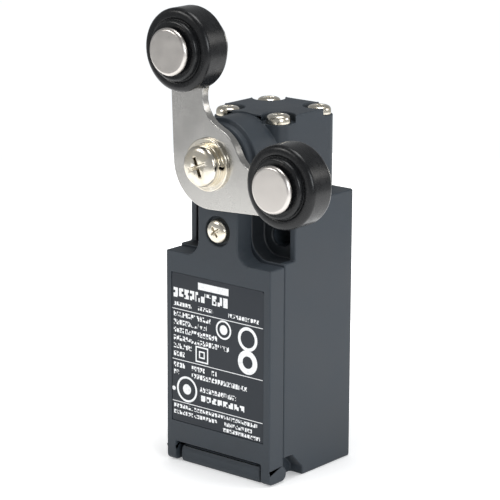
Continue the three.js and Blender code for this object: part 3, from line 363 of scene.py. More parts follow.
def soften(piece, width, segments=3, angle=32, clamp=True):
    """Rounds every hard edge a little and shades the result smoothly."""
    pick(piece)
    if width > 0:
        weld(piece)
        bpy.ops.object.modifier_add(type="BEVEL")
        modifier = piece.modifiers[-1]
        modifier.width = width
        modifier.segments = segments
        modifier.limit_method = "ANGLE"
        modifier.angle_limit = math.radians(angle)
        modifier.miter_outer = "MITER_ARC"
        modifier.use_clamp_overlap = clamp
        bpy.ops.object.modifier_apply(modifier=modifier.name)
    bpy.ops.object.shade_smooth_by_angle(angle=math.radians(36))
    bpy.ops.object.modifier_add(type="WEIGHTED_NORMAL")
    modifier = piece.modifiers[-1]
    modifier.keep_sharp = True
    modifier.weight = 100
    bpy.ops.object.modifier_apply(modifier=modifier.name)
    return piece


def stand_for(piece, node, body, finish):
    """Gives a finished piece its finish and body and hides the node it stands for."""
    piece.data.materials.clear()
    piece.data.materials.append(finish)
    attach(piece, body)
    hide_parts(node)
    return piece


def dress(node, finish, edge=None):
    """A carried-over node keeps its mesh; its finish and fine edges are added to it."""
    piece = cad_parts[node]
    if not piece.data.materials:
        piece.data.materials.append(finish)
    for slot in piece.material_slots:
        slot.material = finish
    if not edge:
        return
    weld = piece.modifiers.new("merge", "WELD")
    weld.merge_threshold = 0.002 * MM
    flat = piece.modifiers.new("flatten", "DECIMATE")
    flat.decimate_type = "DISSOLVE"
    flat.angle_limit = math.radians(1.0)
    bevel = piece.modifiers.new("edges", "BEVEL")
    bevel.width = edge
    bevel.segments = 2
    bevel.limit_method = "ANGLE"
    bevel.angle_limit = math.radians(32)


def middle_of(node):
    low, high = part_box(node)
    return (Vector(low) + Vector(high)) / 2 / MM


# ---------------------------------------------------------------- finishes


class Wire:
    """A shader socket that takes part in ordinary sums."""

    def __init__(self, finish, socket):
        self.finish, self.socket = finish, socket

    def sum(self, operation, *others, clamp=False):
        settings = {"operation": operation, "use_clamp": clamp}
        return self.finish.node("ShaderNodeMath", settings, {0: self, **dict(enumerate(others, 1))})

    def __add__(self, other):
        return self.sum("ADD", other)

    def __sub__(self, other):
        return self.sum("SUBTRACT", other)

    def __mul__(self, other):
        return self.sum("MULTIPLY", other)

    def __truediv__(self, other):
        return self.sum("DIVIDE", other)

    def __rsub__(self, other):
        return self.finish.node("ShaderNodeMath", {"operation": "SUBTRACT"}, {0: other, 1: self})

    __radd__ = __add__
    __rmul__ = __mul__

    def over(self, other):
        return self.sum("GREATER_THAN", other)

    def under(self, other):
        return self.sum("LESS_THAN", other)

    def size(self):
        return self.sum("ABSOLUTE")

    def highest(self, other):
        return self.sum("MAXIMUM", other)

    def floor(self):
        return self.sum("FLOOR")


class Finish:
    """A material and the nodes that it is made of."""

    def __init__(self, name):
        self.material = bpy.data.materials.new(name)
        self.material.use_nodes = True
        self.tree = self.material.node_tree
        self.surface = self.tree.nodes["Principled BSDF"]
        self.place = self.node("ShaderNodeTexCoord", {}, {}, "Object")

    def node(self, kind, settings, values, output=0):
        made = self.tree.nodes.new(kind)
        for key, value in settings.items():
            setattr(made, key, value)
        for key, value in values.items():
            if isinstance(value, Wire):
                self.tree.links.new(value.socket, made.inputs[key])
            else:
                made.inputs[key].default_value = value
        return Wire(self, made.outputs[output])

    def about(self, centre=(0, 0, 0), scale=(1, 1, 1)):
        """Object coordinates in millimetres, centred and stretched."""
        factors = [s / MM for s in scale]
        offset = [-c * s for c, s in zip(centre, scale)]
        values = {"Vector": self.place, "Scale": factors, "Location": offset}
        return self.node("ShaderNodeMapping", {}, values)

    def noise(self, vector, scale, detail=2.0, roughness=0.5):
        values = {"Vector": vector, "Scale": scale, "Detail": detail, "Roughness": roughness}
        return self.node("ShaderNodeTexNoise", {}, values, "Fac")

    def axes(self, vector):
        parts = self.node("ShaderNodeSeparateXYZ", {}, {"Vector": vector})
        outputs = parts.socket.node.outputs
        return [Wire(self, outputs[i]) for i in range(3)]

    def between(self, value, low, high, new_low=0.0, new_high=1.0):
        values = {0: value, 1: low, 2: high, 3: new_low, 4: new_high}
        return self.node("ShaderNodeMapRange", {"clamp": True}, values)

    def blend(self, factor, first, second):
        """Mixes two colours; each is a colour triple or a link."""
        settings = {"data_type": "RGBA", "blend_type": "MIX"}
        values = {0: factor}
        for key, colour in ((6, first), (7, second)):
            values[key] = colour if isinstance(colour, Wire) else (*colour, 1.0)
        return self.node("ShaderNodeMix", settings, values, 2)

    def within(self, place, low, high):
        """1 inside the box from corner low to corner high, of X counted away from the middle."""
        x, y, z = self.axes(place)
        inside = 1.0
        for value, start, end in zip((x.size(), y, z), low, high):
            inside = (value - (start + end) / 2).size().under((end - start) / 2) * inside
        return inside

    def bump(self, height, distance, strength=1.0):
        values = {"Height": height, "Distance": distance * MM, "Strength": strength}
        return self.node("ShaderNodeBump", {}, values, "Normal")

    def set(self, **values):
        for key, value in values.items():
            socket = self.surface.inputs[key.replace("_", " ")]
            if isinstance(value, Wire):
                self.tree.links.new(value.socket, socket)
            elif isinstance(value, (tuple, list)):
                socket.default_value = (*value, 1.0)
            else:
                socket.default_value = value
        return self.material


def darker(colour, factor):
    return tuple(c * factor for c in colour)


def moulded(name, colour, grain, contrast=0.16, rough=(0.42, 0.56), depth=0.012, recess=None):
    """Sparked moulding: fine grain, faint flow clouds, and painted shade, a base colour darkened to
    0.3, inside the box that recess gives by two corners.
    """
    finish = Finish(name)
    place = finish.about()
    cloud = finish.noise(place, 0.09, 3.0)
    speck = finish.noise(place, 0.5 * MM / grain, 2.0, 0.6)
    patch = finish.between(cloud * 0.7 + speck * 0.3, 0.3, 0.7)
    base = finish.blend(patch, darker(colour, 1 - contrast), darker(colour, 1 + contrast))
    # Painted shade: inside the recess box the base colour falls to 0.3 of the moulding's, standing in
    # for the shadow in the side pockets.
    if recess:
        base = finish.blend(finish.within(place, *recess), base, darker(colour, 0.3))
    gloss = finish.between(cloud, 0.3, 0.7, *rough) + (speck - 0.5) * 0.12
    pits = finish.noise(place, MM / grain, 1.0)
    return finish.set(
        Base_Color=base,
        Roughness=gloss,
        Specular_IOR_Level=0.3,
        Normal=finish.bump(pits, depth),
    )


def rolled_steel(name, colour):
    """Rolled stainless sheet: long faint grain, cloudy polish and light handling marks."""
    finish = Finish(name)
    angle_scale = (0.35, 0.35, 3.2)
    grain = finish.noise(finish.about(scale=angle_scale), 1.6, 3.0, 0.6)
    cloud = finish.noise(finish.about(), 0.11, 2.0)
    scuff = finish.noise(finish.about(scale=(2.6, 1.0, 0.2)), 1.1, 4.0, 0.7)
    mark = finish.between(scuff, 0.62, 0.72)
    tone = finish.between(cloud * 0.6 + grain * 0.4, 0.35, 0.65)
    base = finish.blend(tone, darker(colour, 0.93), darker(colour, 1.06))
    rough = finish.between(cloud, 0.3, 0.7, 0.17, 0.25) + grain * 0.07 + mark * 0.04
    return finish.set(
        Base_Color=base, Metallic=1.0, Roughness=rough, Normal=finish.bump(grain, 0.0022)
    )


def lathe_steel(name, colour, centre, rough=0.24, depth=0.003):
    """A turned face: rings of tool marks round a centre, in X and Z, with a soft haze."""
    finish = Finish(name)
    place = finish.about(centre)
    x, _, z = finish.axes(place)
    radius = (x * x + z * z).sum("SQRT")
    ring_line = finish.node("ShaderNodeCombineXYZ", {}, {"X": radius})
    rings = finish.noise(ring_line, 5.5, 2.0, 0.7)
    haze = finish.noise(place, 0.35, 3.0)
    base = finish.blend(haze, darker(colour, 0.92), darker(colour, 1.07))
    gloss = finish.between(haze, 0.3, 0.7, rough - 0.03, rough + 0.07) + (rings - 0.5) * 0.1
    return finish.set(
        Base_Color=base, Metallic=1.0, Roughness=gloss, Normal=finish.bump(rings, depth)
    )


def plated(name, colour, tint, rough=0.2):
    """Bright plating with faint colour clouds and a fine orange-peel."""
    finish = Finish(name)
    place = finish.about()
    cloud = finish.noise(place, 0.5, 3.0)
    peel = finish.noise(place, 3.2, 2.0)
    base = finish.blend(finish.between(cloud, 0.35, 0.65), colour, tint)
    gloss = finish.between(cloud, 0.3, 0.7, rough - 0.04, rough + 0.08)
    return finish.set(
        Base_Color=base, Metallic=1.0, Roughness=gloss, Normal=finish.bump(peel, 0.004)
    )


def black_resin(name, colour, centre):
    """Roller resin: near black, semi-gloss, with faint rings and rolling dust."""
    finish = Finish(name)
    place = finish.about(centre)
    x, _, z = finish.axes(place)
    radius = (x * x + z * z).sum("SQRT")
    ring_line = finish.node("ShaderNodeCombineXYZ", {}, {"X": radius})
    rings = finish.noise(ring_line, 3.0, 2.0, 0.6)
    dust = finish.noise(place, 0.6, 5.0, 0.7)
    powder = finish.between(dust, 0.52, 0.75)
    base = finish.blend(powder * 0.35, colour, darker(colour, 2.6))
    gloss = finish.between(dust, 0.35, 0.7, 0.2, 0.38) + (rings - 0.5) * 0.08
    fine = finish.noise(place, 2.5, 2.0)
    return finish.set(
        Base_Color=base,
        Roughness=gloss,
        Specular_IOR_Level=0.3,
        Normal=finish.bump(rings * 0.6 + fine * 0.4, 0.006),
    )


def rubber(name, colour):
    finish = Finish(name)
    place = finish.about()
    speck = finish.noise(place, 1.4, 4.0, 0.7)
    base = finish.blend(speck, darker(colour, 0.8), darker(colour, 1.5))
    gloss = finish.between(speck, 0.3, 0.7, 0.62, 0.82)
    return finish.set(Base_Color=base, Roughness=gloss, Normal=finish.bump(speck, 0.01))


# Plain print of the label, in millimetres across and up on its face: short runs of small bars
# stand for lines of small type, as (left, right, middle height, height of the line).
TYPE_LINES = (
    (-12.9, -1.3, -17.3, 0.9),
    (3.1, 11.7, -17.3, 0.9),
    (-12.9, -2.1, -19.7, 1.15),
    (-12.9, -3.2, -21.5, 1.15),
    (-12.9, 0.0, -23.35, 1.15),
    (-12.9, 3.4, -25.2, 1.15),
    (-12.9, -7.6, -27.05, 1.15),
    (-12.9, -9.7, -28.9, 1.15),
    (-12.9, -0.3, -31.5, 1.1),
    (-12.9, 8.4, -33.2, 1.1),
    (-5.2, 5.3, -36.0, 1.1),
    (-12.9, 11.4, -41.1, 0.9),
    (-12.9, 9.9, -42.6, 0.9),
    (1.5, 12.2, -43.95, 0.85),
)
BOLD_LINES = ((-12.9, 3.1, -14.7, 2.2), (-5.2, 7.8, -38.0, 1.35))
SOLID_BARS = (
    (-5.7, 3.1, -12.15, 1.6),
    (-13.3, 12.9, -18.5, 0.16),
    (-13.3, 12.9, -30.25, 0.16),
    (-13.3, 12.9, -40.1, 0.16),
)
ROUND_MARKS = (
    (1.7, -20.9, 2.2, 0.42),
    (1.7, -20.9, 1.1, 1.1),
    (8.6, -21.7, 2.75, 0.75),
    (8.6, -27.0, 2.75, 1.35),
    (-9.0, -36.8, 3.0, 0.5),
    (-9.0, -36.8, 1.2, 1.2),
    (-12.9, -37.2, 0.5, 0.5),
)
SQUARE_MARKS = ((-4.6, -27.9, 1.85, 0.33), (-4.6, -27.9, 0.85, 0.33))


def printed_label(name, colour, ink):
    """Dark label sheet with pale screen print."""
    finish = Finish(name)
    place = finish.about()
    x, _, z = finish.axes(place)

    def bar(left, right, height, thick):
        across = (x - (left + right) / 2).size().under((right - left) / 2)
        return across * (z - height).size().under(thick / 2)

    def strokes(width, height, density):
        cell = finish.node(
            "ShaderNodeCombineXYZ",
            {},
            {"X": (x / width).floor(), "Z": (z / height).floor()},
        )
        chance = finish.node("ShaderNodeTexWhiteNoise", {"noise_dimensions": "3D"}, {"Vector": cell})
        word = finish.node("ShaderNodeCombineXYZ", {}, {"X": (x / 1.9).floor(), "Z": (z / 1.8).floor()})
        gap = finish.node("ShaderNodeTexWhiteNoise", {"noise_dimensions": "3D"}, {"Vector": word})
        letter = (x / (width * 2.6)).sum("FRACT").under(0.78)
        return chance.over(density) * gap.over(0.12) * letter

    def total(masks):
        result = masks[0]
        for mask in masks[1:]:
            result = result.highest(mask)
        return result

    small = total([bar(*line) for line in TYPE_LINES]) * strokes(0.33, 0.36, 0.36)
    bold = total([bar(*line) for line in BOLD_LINES]) * strokes(0.62, 0.62, 0.27)
    solid = total([bar(*line) for line in SOLID_BARS])
    rings = []
    for across, up, radius, stroke in ROUND_MARKS:
        dx, dz = x - across, z - up
        reach = (dx * dx + dz * dz).sum("SQRT")
        rings.append((reach - (radius - stroke / 2)).size().under(stroke / 2))
    for across, up, half, stroke in SQUARE_MARKS:
        reach = (x - across).size().highest((z - up).size())
        rings.append((reach - (half - stroke / 2)).size().under(stroke / 2))
    wear = finish.between(finish.noise(place, 2.2, 3.0), 0.25, 0.45, 0.72, 1.0)
    mask = total([small, bold, solid, total(rings)]) * wear
    cloud = finish.noise(place, 0.12, 2.0)
    sheet = finish.blend(cloud, darker(colour, 0.9), darker(colour, 1.12))
    gloss = finish.between(cloud, 0.3, 0.7, 0.36, 0.46) + mask * 0.1
    fine = finish.noise(place, 3.0, 1.0)
    return finish.set(
        Base_Color=finish.blend(mask, sheet, tuple(ink)),
        Roughness=gloss,
        Specular_IOR_Level=0.28,
        Normal=finish.bump(fine * 0.4 + mask, 0.004),
    )


def finish_for(slot, maker, *details):
    """The finish of a material slot, made the first time that it is asked for."""
    name = f"{slot}_finish"
    made = bpy.data.materials.get(name)
    return made or maker(name, tuple(getattr(colours(), slot)), *details)


def shell_finish():
    # Corners of the box round the two side pockets, whose moulding gets painted shade.
    pocket_shade_box = ((5.5, -24.3, -4.9), (13.6, -19.5, 7.8))
    return finish_for("shell", moulded, sizes().texture_grain, 0.16, (0.42, 0.56), 0.012, pocket_shade_box)


def fastener_finish():
    tint = darker(colours().fastener, 0.9)
    return finish_for("fastener", plated, (tint[0], tint[1] * 0.97, tint[2] * 0.9))


def steel_finish():
    return finish_for("steel", plated, darker(colours().steel, 0.85), 0.32)


# ---------------------------------------------------------------- case and cover


def make_case():
    piece = block("case_shell", (-15, 15), (-24.4, 0), (-54.6, 7.9))
    round_edges(piece, along("z", x=(-15, 15), y=(0,)), 1.0, 5)
    lip = block("lip", (-11.5, 11.5), (-28.5, -24.0), (-54.6, -50.4))
    round_edges(lip, along("y", x=(-11.5, 11.5), z=(-50.4,)), 1.0, 5)
    beyond = block("beyond_sweep", (-12, 12), (-29.4, HINGE_Y), (-56, -50))
    carve(beyond, rod("sweep", "X", (HINGE_Y, HINGE_Z), 3.58, -13, 13, 96))
    carve(lip, beyond)
    join(piece, lip, block("ledge", (-5.6, 5.6), (-29.4, -24.0), (6.42, 7.9)))
    carve(
        piece,
        block("cavity", (-13, 13), (-30, -3), (-45, -7.5)),
        rod("cable_entry", "Z", (0, -12.25), 9.32, -56, -44),
        rod("spring_bore", "Z", (0, HEAD_AXIS_Y), 3.7, -2, 9, 48),
        rod("stem_bore", "Z", (0, HEAD_AXIS_Y), 1.72, -8.5, -1, 32),
        rod("cover_thread", "Y", (0, 1.2), 1.85, -30, -19.6, 32),
    )
    for side in (-1, 1):
        reach = sorted((5.6 * side, 16 * side))
        inner = sorted((5.6 * side, 13.25 * side))
        corner = along("y", x=(5.6 * side,), z=(-4.7,))
        rim = block("pocket_rim", reach, (-30, -20.9), (-4.7, 9))
        well = block("pocket_well", inner, (-30, -20.1), (-4.7, 9))
        slot = block("slot", sorted((10 * side, 10.75 * side)), (-30, 1), (-2.15, 2.15))
        notch = block("notch", sorted((11.5 * side, 16 * side)), (-30, -17.7), (-57, -49))
        slice_off(notch, (0, -17.7, -52.6), (0, 3.6, 6.7))
        carve(
            piece,
            round_edges(rim, corner, 4.7, 12),
            round_edges(well, corner, 4.7, 12),
            slot,
            rod("slot_end", "Y", (10 * side, 0), 2.15, -30, 1, 40),
            rod("slot_end", "Y", (10.75 * side, 0), 2.15, -30, 1, 40),
            notch,
            rod("hinge_hole", "X", (HINGE_Y, HINGE_Z), 0.89, *sorted((9.9 * side, 12 * side)), 24),
        )
    soften(piece, sizes().moulded_edge, clamp=False)
    carve(piece, block("back_relief", (-16, 16), (-0.4, 1), (-45.7, -2)))
    soften(piece, 0)
    stand_for(piece, "case", "housing", shell_finish())


def make_cover():
    piece = block("cover_shell", (-15, 15), (-29.4, -24.5), (-49.7, -5.3))
    join(piece, block("neck", (-5.6, 5.6), (-29.4, -24.5), (-6, 6.32)))
    round_edges(piece, along("y", x=(-5.6, 5.6), z=(-5.3,)), 3.6, 10)
    for side in (-1, 1):
        reach = sorted((12.4 * side, 15 * side))
        foot = block("foot", reach, (-29.4, -23.3), (-54.3, -50.9))
        round_edges(foot, along("x", y=(-23.3,), z=(-54.3, -50.9)), 1.65, 6)
        round_edges(foot, along("x", y=(-29.4,), z=(-54.3,)), 1.2, 5)
        join(
            piece,
            foot,
            block("ankle", reach, (-29.4, -24.5), (-52, -49)),
            rod("trunnion", "X", (HINGE_Y, HINGE_Z), 0.8, *sorted((10.2 * side, 13 * side)), 24),
        )
    groove = block("groove", (-14.45, 14.45), (-25.2, -24), (-46.45, -5.95))
    carve(groove, block("groove_core", (-13.55, 13.55), (-26, -23), (-45.55, -6.85)))
    carve(
        piece,
        block("inside", (-13, 13), (-27.4, -24), (-45, -7.5)),
        block("skirt_relief", (-12.4, 12.4), (-27.4, -24), (-51, -47)),
        rod("counterbore", "Y", (0, 1.2), 3.35, -31, -28.4, 64),
        rod("screw_hole", "Y", (0, 1.2), 1.62, -31, -24, 32),
    )
    soften(piece, sizes().moulded_edge, clamp=False)
    recess = block("label_recess", (-13.5, 13.2), (-31, -29.1), (-44.8, -10.1))
    carve(piece, recess, groove)
    soften(piece, 0)
    stand_for(piece, "cover", "cover", shell_finish())


def make_label():
    low, high = (Vector(corner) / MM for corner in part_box("rating_label"))
    piece = block("label_sheet", (low.x, high.x), (low.y, high.y), (low.z, high.z))
    round_edges(piece, along("y", x=(low.x, high.x), z=(low.z, high.z)), 0.6, 5)
    soften(piece, 0.03 * MM, 2)
    finish = printed_label("label", tuple(colours().label), tuple(colours().ink))
    stand_for(piece, "rating_label", "cover", finish)


# ---------------------------------------------------------------- head


def make_head():
    piece = block("head_shell", (-10.2, 10.2), (-20.4, 0), (7.9, 26.2))
    round_edges(piece, along("z", x=(-10.2, 10.2), y=(-20.4, 0)), 3.0, 8)
    profile = [(7.9, -29.2), (8.5, -28.7), (8.5, -27.7), (9.5, -27.4), (9.5, HEAD_AXIS_Y)]
    join(piece, turned("boss", "Y", (0, PIVOT_Z), profile))
    carve(piece, block("below", (-12, 12), (-32, 2), (0, 7.9)))
    for node in HEAD_SCREWS:
        place = middle_of(node)
        carve(
            piece,
            rod("screw_seat", "Z", (place.x, place.y), 3.7, 24.4, 28, 64),
            rod("screw_hole", "Z", (place.x, place.y), 1.62, 7, 25, 24),
        )
    carve(
        piece,
        rod("cam_room", "Z", (0, HEAD_AXIS_Y), 7.4, 7, 21.5, 64),
        rod("bush_seat", "Y", (0, PIVOT_Z), 5.0, -30, -14, 64),
        rod("rear_bearing", "Y", (0, PIVOT_Z), 2.49, HEAD_AXIS_Y, -1, 32),
        rod("lock_bore", "Z", (0, HEAD_AXIS_Y), 2.42, 20.5, 25.2, 32),
    )
    soften(piece, sizes().head_edge, clamp=False)
    stand_for(piece, "head_housing", "housing", shell_finish())


HEAD_SCREWS = (
    "head_screw_front_left",
    "head_screw_front_right",
    "head_screw_rear_left",
    "head_screw_rear_right",
)


# ---------------------------------------------------------------- screws


def cross_recess(axis, centre, face, inward, reach):
    """Two crossed wedges that taper into the head, to be carved out of it."""
    arms = []
    for wide in (0, 1):
        half = [reach, reach * 0.19]
        if wide:
            half.reverse()
        ends = sorted((face - 0.6 * inward, face + reach * 0.62 * inward))
        if axis == "Y":
            across = (centre[0] - half[0], centre[0] + half[0])
            arm = block("recess", across, ends, (centre[1] - half[1], centre[1] + half[1]))
        else:
            spans = [(c - h, c + h) for c, h in zip(centre, half)]
            arm = block("recess", *spans, ends)
        index = "XYZ".index(axis)
        deep = face + reach * 0.62 * inward
        pick(arm)
        bpy.ops.object.mode_set(mode="EDIT")
        bpy.ops.mesh.select_mode(type="FACE")
        bpy.ops.mesh.select_all(action="DESELECT")
        bpy.ops.object.mode_set(mode="OBJECT")
        for polygon in arm.data.polygons:
            polygon.select = near(polygon.center[index] / MM, deep)
        bpy.ops.object.mode_set(mode="EDIT")
        spot = list(centre)
        spot.insert(index, deep)
        bpy.ops.transform.resize(value=(0.62, 0.62, 0.62), center_override=scaled(spot))
        bpy.ops.object.mode_set(mode="OBJECT")
        arms.append(arm)
    return arms


def pan_screw(name, axis, centre, seat, tip, head, height, shank, spin=0.0):
    """A cross-recessed pan-head screw: head on seat, shank to tip, recess turned by spin degrees."""
    inward = 1 if tip > seat else -1
    face = seat - height * inward
    crown = [(0.45, 0.0), (0.72, 0.06), (0.86, 0.16), (0.95, 0.31), (1.0, 0.52), (1.0, 1.0)]
    profile = [(0.12 * head, face)]
    profile += [(head * r, face + height * rise * inward) for r, rise in crown]
    profile += [(shank, seat), (shank, tip - 0.4 * inward), (shank * 0.7, tip)]
    piece = turned(name, axis, centre, profile, 64)
    recess = cross_recess(axis, centre, face, inward, head * 0.56)
    spot = list(centre)
    spot.insert("XYZ".index(axis), face)
    for arm in recess:
        pick(arm)
        bpy.ops.transform.rotate(
            value=math.radians(spin), orient_axis=axis, center_override=scaled(spot)
        )
        settle("recess")
    carve(piece, *recess)
    return soften(piece, sizes().screw_edge, 2)


def make_screws():
    upright = HEAD_SCREWS[0]
    first = middle_of(upright)
    low, high = (Vector(corner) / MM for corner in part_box(upright))
    master = pan_screw(
        "head_bolt_" + upright[11:], "Z", (first.x, first.y), 24.4, low.z, 2.7, high.z - 24.4, 1.5, 30
    )
    for node in HEAD_SCREWS:
        piece = master
        if node != upright:
            piece = duplicate(master, "head_bolt_" + node[11:], middle_of(node) - first)
        stand_for(piece, node, "housing", fastener_finish())
    cover = pan_screw("cover_bolt", "Y", (0, 1.2), -28.4, -19.9, 2.7, 1.98, 1.5, 35)
    stand_for(cover, "cover_screw", "cover", fastener_finish())
    place_copies("block_screw", ("left", "right"), 2.7, 2.0, 1.5)
    place_copies("terminal_screw", ("nc_left", "nc_right", "no_left", "no_right"), 2.9, 2.0, 1.6)


def place_copies(kind, names, head, height, shank):
    """One screw modelled at its first place and copied to the others."""
    first = middle_of(f"{kind}_{names[0]}")
    low, high = (Vector(corner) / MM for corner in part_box(f"{kind}_{names[0]}"))
    seat = low.y + height
    title = kind.replace("screw", "bolt")
    master = pan_screw(
        f"{title}_{names[0]}", "Y", (first.x, first.z), seat, high.y, head, height, shank, 12
    )
    for name in names:
        piece = master
        if name != names[0]:
            piece = duplicate(master, f"{title}_{name}", middle_of(f"{kind}_{name}") - first)
        stand_for(piece, f"{kind}_{name}", "housing", fastener_finish())


# ---------------------------------------------------------------- lever and rollers


def make_lever():
    piece = copy_of_node("fork_lever", "fork_plate")
    soften(piece, sizes().pressed_edge)
    finish = finish_for("lever", rolled_steel)
    stand_for(piece, "fork_lever", "lever", finish)


def arm_end(which):
    place = middle_of(f"roller_pin_{which}")
    return place.x, place.z


def make_roller(which):
    centre = arm_end(which)
    low, high = (Vector(corner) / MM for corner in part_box(f"roller_{which}"))
    radius, front, back = ROLLER_RADIUS, low.y, high.y
    face, rear = front + 1.15, back - 0.4
    edge = [
        (radius - 1.15 * (1 - math.sin(t)), 1.15 * (1 - math.cos(t)))
        for t in (math.radians(15 * step) for step in range(7))
    ]
    profile = [
        (5.45, front + 0.1),
        (5.85, front),
        (6.12, front + 0.04),
        (6.36, front + 0.18),
        (6.5, front + 0.45),
        (6.5, face + 0.16),
        (6.8, face + 0.16),
        (7.05, face),
    ]
    profile += [(r, face + d) for r, d in edge]
    profile += [(r, rear - d) for r, d in reversed(edge)]
    profile += [(6.45, rear), (6.45, back)]
    piece = turned(f"roller_tyre_{which}", "Y", centre, profile)
    carve(piece, rod("bore", "Y", centre, 2.59, front - 1, back + 1, 64))
    soften(piece, 0.1 * MM, 2)
    centre3 = (centre[0], 0, centre[1])
    finish = black_resin(f"roller_{which}_resin", tuple(colours().roller), centre3)
    stand_for(piece, f"roller_{which}", f"roller_{which}", finish)


def make_pin(which):
    centre = arm_end(which)
    low, high = (Vector(corner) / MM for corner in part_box(f"roller_pin_{which}"))
    front, tail = low.y, high.y
    profile = [
        (0.5, front + 0.02),
        (4.45, front),
        (4.62, front + 0.03),
        (4.78, front + 0.12),
        (5.02, front + 0.4),
        (5.1, front + 0.55),
        (5.1, front + 1.0),
        (5.02, front + 1.1),
        (2.5, front + 1.1),
        (2.5, tail - 2.0),
        (2.0, tail - 2.0),
        (2.0, tail),
    ]
    piece = turned(f"pin_{which}", "Y", centre, profile)
    soften(piece, 0.05 * MM, 2)
    finish = lathe_steel(
        f"pin_{which}_steel", tuple(colours().pin), (centre[0], 0, centre[1]), 0.3
    )
    stand_for(piece, f"roller_pin_{which}", "lever", finish)


def make_lever_fixing():
    washer = turned(
        "flat_washer", "Y", (0, PIVOT_Z), [(5.7, -33.2), (5.85, -33.08), (5.85, -32.4)]
    )
    carve(washer, rod("bore", "Y", (0, PIVOT_Z), 2.52, -35, -30, 48))
    soften(washer, 0.08 * MM, 2)
    stand_for(washer, "lever_washer", "lever", fastener_finish())
    ring = turned("split_washer", "Y", (0, PIVOT_Z), [(4.8, -34.1), (4.8, -33.2)])
    gap = block("gap", (2, 7), (-36, -31), (PIVOT_Z - 0.3, PIVOT_Z + 0.3))
    pick(gap)
    bpy.ops.transform.rotate(
        value=math.radians(20), orient_axis="X", center_override=scaled((4, -33.65, PIVOT_Z))
    )
    settle("gap")
    carve(ring, rod("bore", "Y", (0, PIVOT_Z), 2.52, -36, -30, 48), gap)
    soften(ring, 0.08 * MM, 2)
    stand_for(ring, "lever_spring_washer", "lever", fastener_finish())
    bolt = pan_screw("lever_bolt", "Y", (0, PIVOT_Z), -34.1, -22.4, 4.5, 2.05, 2.4, 22)
    stand_for(bolt, "lever_screw", "lever", fastener_finish())


# ---------------------------------------------------------------- pieces kept from the part


def dress_working_parts():
    seal = finish_for("seal", rubber)
    for node in ("cover_gasket", "head_gasket", "shaft_seal"):
        dress(node, seal)
    steel = steel_finish()
    for node in ("lever_shaft", "cam", "head_plunger", "lock_plunger"):
        dress(node, steel, sizes().inner_edge)
    for node in ("return_spring", "lock_spring", "carrier_spring"):
        dress(node, steel)
    for node in ("bridge_spring_nc", "bridge_spring_no"):
        dress(node, steel)
    tint = darker(colours().bush, 0.8)
    dress("shaft_bush", finish_for("bush", plated, tint, 0.45), sizes().inner_edge)
    grain = sizes().texture_grain
    body = finish_for("block", moulded, grain, 0.1, (0.4, 0.5), 0.006)
    for node in ("switch_base", "switch_lid"):
        dress(node, body, sizes().inner_edge)
    natural = finish_for("carrier", moulded, grain, 0.06, (0.35, 0.45), 0.004)
    dress("contact_carrier", natural, sizes().inner_edge)
    brass = finish_for("terminal", plated, darker(colours().terminal, 0.88), 0.28)
    silver = finish_for("contact", plated, darker(colours().contact, 0.9), 0.26)
    for place in ("nc_left", "nc_right", "no_left", "no_right"):
        dress(f"terminal_{place}", brass, sizes().inner_edge)
        dress(f"clamp_plate_{place}", fastener_finish(), sizes().inner_edge)
    for node in ("bridge_nc", "bridge_no"):
        dress(node, silver, sizes().inner_edge)


# ---------------------------------------------------------------- stage

CAMERA_TARGET = (-3.17, -14.4, -6.46)
CAMERA_AZIMUTH, CAMERA_ELEVATION, CAMERA_ROLL = 39.62, 14.49, 0.23
CAMERA_DISTANCE = 525.9
CAMERA_LENS = 168.87
FLOOR_Z = -54.65

WORLD_LOW, WORLD_HIGH = 0.5, 0.3
FLOOR_REACH = 320
# Painted light of the floor: its own glow, dim near the switch as painted shade round its foot, bright
# far off.
FLOOR_GLOW, FLOOR_EDGE_GLOW = 0.18, 0.85

# Name, place, target and size in millimetres, power in watts, colour.
LIGHTS = (
    ("key", (-330, -520, 380), (0, -10, -5), 260, 1.5, (1.0, 0.985, 0.96)),
    ("fill", (620, -260, 220), (0, -10, -10), 300, 2.2, (0.94, 0.97, 1.0)),
    ("top", (60, 60, 620), (0, -10, 0), 320, 2.2, (1.0, 1.0, 1.0)),
    ("rim", (420, 330, 240), (0, -5, 0), 200, 0.6, (1.0, 0.98, 0.95)),
)


def aim(thing, target, roll=0.0):
    direction = scaled(target) - thing.location
    turn = direction.to_track_quat("-Z", "Y").to_matrix().to_4x4()
    thing.rotation_euler = turn.to_euler()
    if roll:
        thing.rotation_euler.rotate_axis("Z", math.radians(roll))


def make_floor():
    clear_selection()
    bpy.ops.mesh.primitive_circle_add(
        vertices=96, radius=FLOOR_REACH * MM, fill_type="NGON", location=scaled((0, 0, FLOOR_Z))
    )
    floor = settle("floor")
    finish = Finish("floor_paint")
    cloud = finish.noise(finish.about(), 0.004, 2.0)
    x, y, _ = finish.axes(finish.about())
    # Painted light: the floor glows at FLOOR_GLOW within 18 mm of the middle, rising to FLOOR_EDGE_GLOW
    # by 75 mm, so the dim ring round the switch is painted shade.
    far = finish.between((x * x + y * y).sum("SQRT"), 18.0, 75.0)
    finish.set(
        Base_Color=finish.blend(cloud, (0.9, 0.9, 0.9), (0.94, 0.94, 0.94)),
        Roughness=0.6,
        Specular_IOR_Level=0.2,
        Emission_Color=finish.blend(far, (FLOOR_GLOW,) * 3, (FLOOR_EDGE_GLOW,) * 3),
        Emission_Strength=1.0,
    )
    floor.data.materials.append(finish.material)


